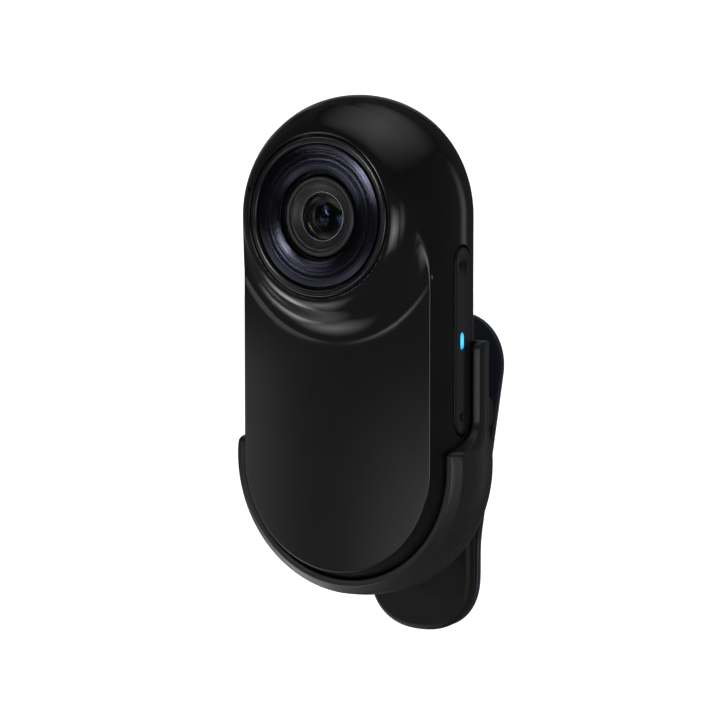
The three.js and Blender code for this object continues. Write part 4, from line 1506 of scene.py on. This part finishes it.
def build_floor():
    """A pale sweep: floor in front, rising behind the object."""
    bm = bmesh.new()
    verts = [bm.verts.new((-FLOOR_HALF_WIDTH, y, FLOOR_Z)) for y in (FLOOR_FRONT_Y, SWEEP_Y)]
    bm.edges.new(verts)
    bend = bmesh.ops.spin(
        bm,
        geom=[verts[1]],
        cent=(-FLOOR_HALF_WIDTH, SWEEP_Y, FLOOR_Z + SWEEP_RADIUS),
        axis=(1, 0, 0),
        angle=math.pi / 2,
        steps=16,
        space=Matrix(),
    )["geom_last"]
    top = new_verts(bend)[0]
    wall = bm.verts.new((-FLOOR_HALF_WIDTH, top.co.y, WALL_TOP_Z))
    bm.edges.new((top, wall))
    made = bmesh.ops.extrude_edge_only(bm, edges=list(bm.edges))["geom"]
    bmesh.ops.translate(bm, vec=(2 * FLOOR_HALF_WIDTH, 0, 0), verts=new_verts(made))
    floor = to_object(bm, "pale_sweep")
    floor.data.shade_smooth()
    floor.data.materials.append(stage_finish())
    floor.visible_glossy = False
    floor.visible_shadow = False
    floor.visible_transmission = False


def add_card(name, place, aim, size, strength, fade):
    """A glowing card for reflections, brightest in its middle and fading towards its edges."""
    paint = Paint(
        name + "_glow",
        Roughness=1.0,
        Specular_IOR_Level=0.0,
        Emission_Strength=strength,
    )
    where = paint.node("ShaderNodeTexCoord", output="Object")
    across = paint.split(where, "X").absolute() * (2.0 / size[0])
    along = paint.split(where, "Y").absolute() * (2.0 / size[1])
    within = [paint.stretch(reach, 1.0 - fade, 1.0, 1.0, 0.0) for reach in (across, along)]
    glow = paint.ramp(within[0] * within[1], [(0.0, (0, 0, 0)), (1.0, (1, 1, 1))])
    paint.feed("Emission Color", glow)
    paint.shader.inputs["Base Color"].default_value = (0, 0, 0, 1)
    bm = bmesh.new()
    bmesh.ops.create_grid(bm, x_segments=1, y_segments=1, size=0.5)
    bmesh.ops.scale(bm, vec=(size[0], size[1], 1), verts=bm.verts)
    card = to_object(bm, name)
    card.data.materials.append(paint.material)
    card.location = place
    card.rotation_euler = (Vector(aim) - Vector(place)).to_track_quat("Z", "Y").to_euler()
    card.visible_camera = False
    card.visible_shadow = False


# name, azimuth, elevation, (width, height), strength and fade of each card, a metre from the object
CARDS = (
    ("back_card", 212, 0, (0.9, 1.3), 0.2, 0.6),
    ("back_right_card", 150, 0, (0.3, 1.2), 0.6, 0.8),
    ("near_card", 38, -10, (1.0, 0.7), 4.4, 0.95),
    ("chamfer_card", 62, -4, (0.25, 0.7), 1.2, 0.9),
    ("low_left_card", -98, -38, (0.9, 0.7), 3.4, 0.9),
    ("left_card", -43, -9, (0.33, 0.2), 1.1, 0.25),
    ("ring_card", -22, 7, (0.13, 0.13), 26.0, 0.7),
    ("panel_card", -25, -11, (0.26, 0.22), 2.2, 0.9),
    ("low_card", -58, -52, (1.0, 0.8), 2.0, 0.9),
    ("lever_card", -35, 24, (0.5, 0.3), 2.0, 0.9),
    ("top_card", 110, 82, (1.9, 1.7), 0.95, 0.95),
)


def build_lights():
    centre = Vector((0.0, -0.02, 0.04))
    power = bpy.context.scene.thumb_stage.light_power
    for name, azimuth, elevation, size, strength, fade in CARDS:
        away = direction(math.radians(azimuth), math.radians(elevation))
        add_card(name, centre + away, centre, size, strength * power, fade)


def build_world():
    world = bpy.data.worlds.new("soft_room")
    world.use_nodes = True
    background = world.node_tree.nodes["Background"]
    background.inputs["Color"].default_value = (1, 1, 1, 1)
    background.inputs["Strength"].default_value = ROOM_GLOW
    bpy.context.scene.world = world
    bpy.context.scene.view_settings.view_transform = "Standard"


def build_camera():
    settings = bpy.context.scene.thumb_stage
    back = direction(settings.azimuth, settings.elevation)
    lens = bpy.data.cameras.new("view_camera")
    lens.sensor_width = SENSOR_WIDTH_MM
    lens.lens = LENS_LENGTH_MM
    lens.clip_start, lens.clip_end = 0.01, 20.0
    camera = bpy.data.objects.new("view_camera", lens)
    camera.location = Vector(TARGET) + back * DISTANCE
    camera.rotation_euler = (-back).to_track_quat("-Z", "Y").to_euler()
    bpy.context.scene.collection.objects.link(camera)
    bpy.context.scene.camera = camera


# ---- Operators


class THUMBCAMERA_OT_carried_parts(bpy.types.Operator):
    """Give the frame parts that still show their finishes."""

    bl_idname = "thumbcamera.carried_parts"
    bl_label = "Finish Carried Parts"
    bl_options = {"REGISTER", "UNDO"}

    def execute(self, context):
        paint_carried_parts()
        return {"FINISHED"}


class THUMBCAMERA_OT_shell(bpy.types.Operator):
    """Build the camera body with its lens head."""

    bl_idname = "thumbcamera.shell"
    bl_label = "Build Shell"
    bl_options = {"REGISTER", "UNDO"}

    def execute(self, context):
        build_front_shell()
        return {"FINISHED"}


class THUMBCAMERA_OT_rear_cover(bpy.types.Operator):
    """Build the back plate and its four screws."""

    bl_idname = "thumbcamera.rear_cover"
    bl_label = "Build Rear Cover"
    bl_options = {"REGISTER", "UNDO"}

    def execute(self, context):
        build_rear_cover()
        build_housing_screws()
        return {"FINISHED"}


class THUMBCAMERA_OT_lens_face(bpy.types.Operator):
    """Build the bezel, trim, lens ring and front glass."""

    bl_idname = "thumbcamera.lens_face"
    bl_label = "Build Lens Face"
    bl_options = {"REGISTER", "UNDO"}

    def execute(self, context):
        build_bezel()
        build_trim_ring()
        build_lens_ring()
        build_front_glass()
        return {"FINISHED"}


class THUMBCAMERA_OT_lens_inside(bpy.types.Operator):
    """Build the barrel and the elements seen through the glass."""

    bl_idname = "thumbcamera.lens_inside"
    bl_label = "Build Lens Inside"
    bl_options = {"REGISTER", "UNDO"}

    def execute(self, context):
        build_lens_inside()
        return {"FINISHED"}


class THUMBCAMERA_OT_keys(bpy.types.Operator):
    """Build the rocking key bar and the status light in its window."""

    bl_idname = "thumbcamera.keys"
    bl_label = "Build Keys"
    bl_options = {"REGISTER", "UNDO"}

    def execute(self, context):
        build_key_bar()
        build_key_marks()
        build_status_light()
        return {"FINISHED"}


class THUMBCAMERA_OT_port(bpy.types.Operator):
    """Build the charging port, its cover and its hinge pin."""

    bl_idname = "thumbcamera.port"
    bl_label = "Build Port"
    bl_options = {"REGISTER", "UNDO"}

    def execute(self, context):
        build_port_cover()
        build_charging_socket()
        return {"FINISHED"}


class THUMBCAMERA_OT_cradle(bpy.types.Operator):
    """Build the cradle that holds the camera."""

    bl_idname = "thumbcamera.cradle"
    bl_label = "Build Cradle"
    bl_options = {"REGISTER", "UNDO"}

    def execute(self, context):
        build_cradle()
        return {"FINISHED"}


class THUMBCAMERA_OT_swivel(bpy.types.Operator):
    """Build the swivel joint between cradle and clip."""

    bl_idname = "thumbcamera.swivel"
    bl_label = "Build Swivel"
    bl_options = {"REGISTER", "UNDO"}

    def execute(self, context):
        build_swivel()
        return {"FINISHED"}


class THUMBCAMERA_OT_front_jaw(bpy.types.Operator):
    """Build the front jaw of the clip and its grip pad."""

    bl_idname = "thumbcamera.front_jaw"
    bl_label = "Build Front Jaw"
    bl_options = {"REGISTER", "UNDO"}

    def execute(self, context):
        build_front_jaw()
        build_grip_pad()
        return {"FINISHED"}


class THUMBCAMERA_OT_lever(bpy.types.Operator):
    """Build the lever of the clip."""

    bl_idname = "thumbcamera.lever"
    bl_label = "Build Lever"
    bl_options = {"REGISTER", "UNDO"}

    def execute(self, context):
        build_lever()
        return {"FINISHED"}


class THUMBCAMERA_OT_hinge(bpy.types.Operator):
    """Build the hinge pin of the clip and its spring."""

    bl_idname = "thumbcamera.hinge"
    bl_label = "Build Hinge"
    bl_options = {"REGISTER", "UNDO"}

    def execute(self, context):
        build_hinge_pin()
        build_spring()
        return {"FINISHED"}


class THUMBCAMERA_OT_stage(bpy.types.Operator):
    """Build the floor, the light and the view camera."""

    bl_idname = "thumbcamera.stage"
    bl_label = "Build Stage"
    bl_options = {"REGISTER", "UNDO"}

    def execute(self, context):
        build_floor()
        build_lights()
        build_world()
        build_camera()
        return {"FINISHED"}


OPERATORS = (
    THUMBCAMERA_OT_carried_parts,
    THUMBCAMERA_OT_shell,
    THUMBCAMERA_OT_rear_cover,
    THUMBCAMERA_OT_lens_face,
    THUMBCAMERA_OT_lens_inside,
    THUMBCAMERA_OT_keys,
    THUMBCAMERA_OT_port,
    THUMBCAMERA_OT_cradle,
    THUMBCAMERA_OT_swivel,
    THUMBCAMERA_OT_front_jaw,
    THUMBCAMERA_OT_lever,
    THUMBCAMERA_OT_hinge,
    THUMBCAMERA_OT_stage,
)


class THUMBCAMERA_PT_builders(bpy.types.Panel):
    """List the settings and the builders."""

    bl_label = "Thumb Camera"
    bl_space_type = "VIEW_3D"
    bl_region_type = "UI"
    bl_category = "Thumb Camera"

    def draw(self, context):
        scene = context.scene
        for settings in (scene.thumb_camera, scene.thumb_cradle, scene.thumb_stage):
            for name in settings.__annotations__:
                self.layout.prop(settings, name)
        for maker in OPERATORS:
            self.layout.operator(maker.bl_idname)


CLASSES = (CameraSettings, CradleSettings, StageSettings, *OPERATORS, THUMBCAMERA_PT_builders)


def register():
    for cls in CLASSES:
        bpy.utils.register_class(cls)
    bpy.types.Scene.thumb_camera = PointerProperty(type=CameraSettings)
    bpy.types.Scene.thumb_cradle = PointerProperty(type=CradleSettings)
    bpy.types.Scene.thumb_stage = PointerProperty(type=StageSettings)


def unregister():
    del bpy.types.Scene.thumb_stage
    del bpy.types.Scene.thumb_cradle
    del bpy.types.Scene.thumb_camera
    for cls in reversed(CLASSES):
        bpy.utils.unregister_class(cls)


def main():
    register()
    for maker in OPERATORS:
        name = maker.bl_idname.split(".")[1]
        getattr(bpy.ops.thumbcamera, name)()


if __name__ == "__main__":
    main()
